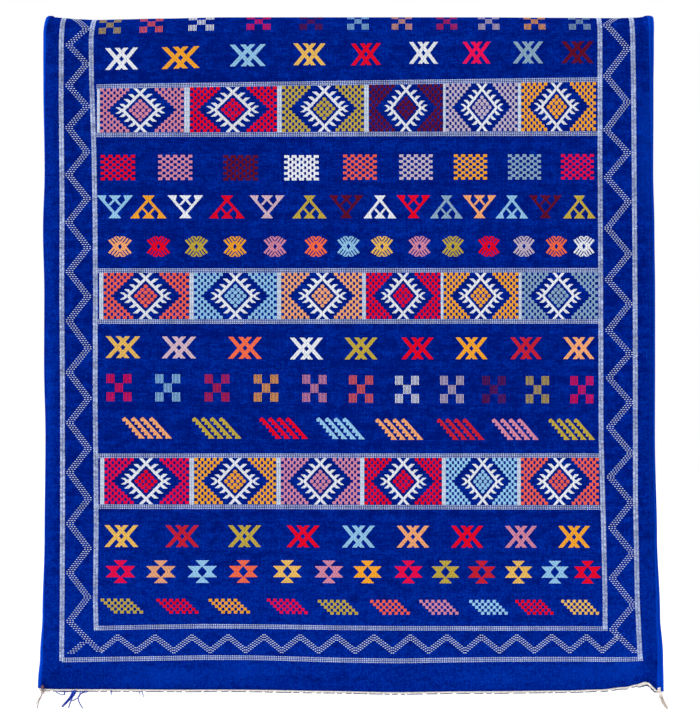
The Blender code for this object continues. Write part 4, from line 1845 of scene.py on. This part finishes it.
def make_light():
    """A white studio, dimmer towards the front, and a soft lamp high at the front left."""
    world = bpy.data.worlds.new("white_studio")
    bpy.context.scene.world = world
    world.use_nodes = True
    sky = world.node_tree.nodes["Background"]
    sky.inputs["Color"].default_value = (1.0, 1.0, 1.0, 1.0)
    direction = add(world, "ShaderNodeTexCoord", {}).outputs["Generated"]
    parts = add(world, "ShaderNodeSeparateXYZ", {0: direction})
    fade = {
        "Value": parts.outputs[1],
        "From Min": SKY_FADE_FROM,
        "From Max": SKY_FADE_TO,
        "To Min": FRONT_SKY_STRENGTH,
        "To Max": 1.0,
    }
    strength = add(world, "ShaderNodeMapRange", fade, interpolation_type="SMOOTHSTEP").outputs[0]
    connect(world, sky, {"Strength": strength})
    lamp = bpy.data.lights.new("soft_lamp", "SUN")
    lamp.energy = LAMP_STRENGTH
    lamp.angle = math.radians(LAMP_WIDTH_DEGREES)
    holder = bpy.data.objects.new("soft_lamp", lamp)
    bpy.context.scene.collection.objects.link(holder)
    holder.rotation_euler = Vector(LAMP_DIRECTION).to_track_quat("-Z", "Y").to_euler()
    bpy.context.scene.view_settings.view_transform = "Standard"


def make_camera():
    """Square on to the cloth, at the photograph's framing."""
    camera = bpy.data.cameras.new("camera")
    camera.sensor_width = SENSOR
    camera.lens = SENSOR * CAMERA_DISTANCE / (PHOTO_HEIGHT * PHOTO_PIXEL)
    holder = bpy.data.objects.new("camera", camera)
    bpy.context.scene.collection.objects.link(holder)
    across = float(photo_across(PHOTO_WIDTH / 2))
    height = float(photo_along(PHOTO_HEIGHT / 2)) - FRONT_DROP
    holder.location = (across, FRONT_FACE_Y - CAMERA_DISTANCE, height)
    holder.rotation_euler = (math.radians(90), 0, 0)
    bpy.context.scene.camera = holder


def main():
    """Builds every piece and ties it to the frame."""
    make_camera()
    make_light()
    make_floor()
    cloth = make_cloth(ground_wool())
    brocade = make_brocade()
    cream = yarn_material("undyed_warp_yarn")
    beige = yarn_material("worn_warp_yarn")
    brown = yarn_material("soiled_and_shaded_warp_yarn")
    dark = yarn_material("dusty_blue_thread")
    rust = yarn_material("rust_brown_yarn")
    blue = yarn_material("loose_blue_wool")
    front_cord = make_hem_cord("front_twining", 0.0, HEM_REACH, cream)
    back_cord = make_hem_cord("back_twining", CLOTH_LENGTH, FAR_HEM_REACH, cream)
    front_thread = make_hem_thread("front_twining_thread", 0.0, HEM_REACH, dark)
    corner_strands = yarn_strands(CORNER_THREAD_AND_SHADOW, plane_of("right_corner_tail"))
    corner_thread_and_shadow = tubes("right_corner_thread", corner_strands, dark)
    back_thread = make_hem_thread("back_twining_thread", CLOTH_LENGTH, FAR_HEM_REACH, dark)
    left_tail = make_left_tail(brown)
    front_knot = make_front_knot(rust)
    right_tail = make_right_tail(beige)
    loop_strands = yarn_strands(RIGHT_LOOP, plane_of("right_corner_tail"))
    right_loop = tubes("right_corner_loop", loop_strands, cream)
    tuft_plane = plane_of("loose_yarn")
    loose = tubes("blue_loose_yarns", yarn_strands(LOOSE_YARN, tuft_plane), blue)
    short_ends = tubes("short_blue_ends", yarn_strands(SHORT_ENDS, tuft_plane), blue)
    wool_pieces = [cloth, *brocade, loose, short_ends]
    warp_pieces = [
        front_cord, back_cord, front_thread, back_thread, left_tail, front_knot, right_tail, right_loop,
        corner_thread_and_shadow,
    ]
    for piece in wool_pieces + warp_pieces:
        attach(piece, "root")
    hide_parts("blanket")
    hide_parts("front_braid")
    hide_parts("back_braid")
    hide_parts("left_corner_tail")
    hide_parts("right_corner_tail")
    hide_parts("loose_yarn")


main()
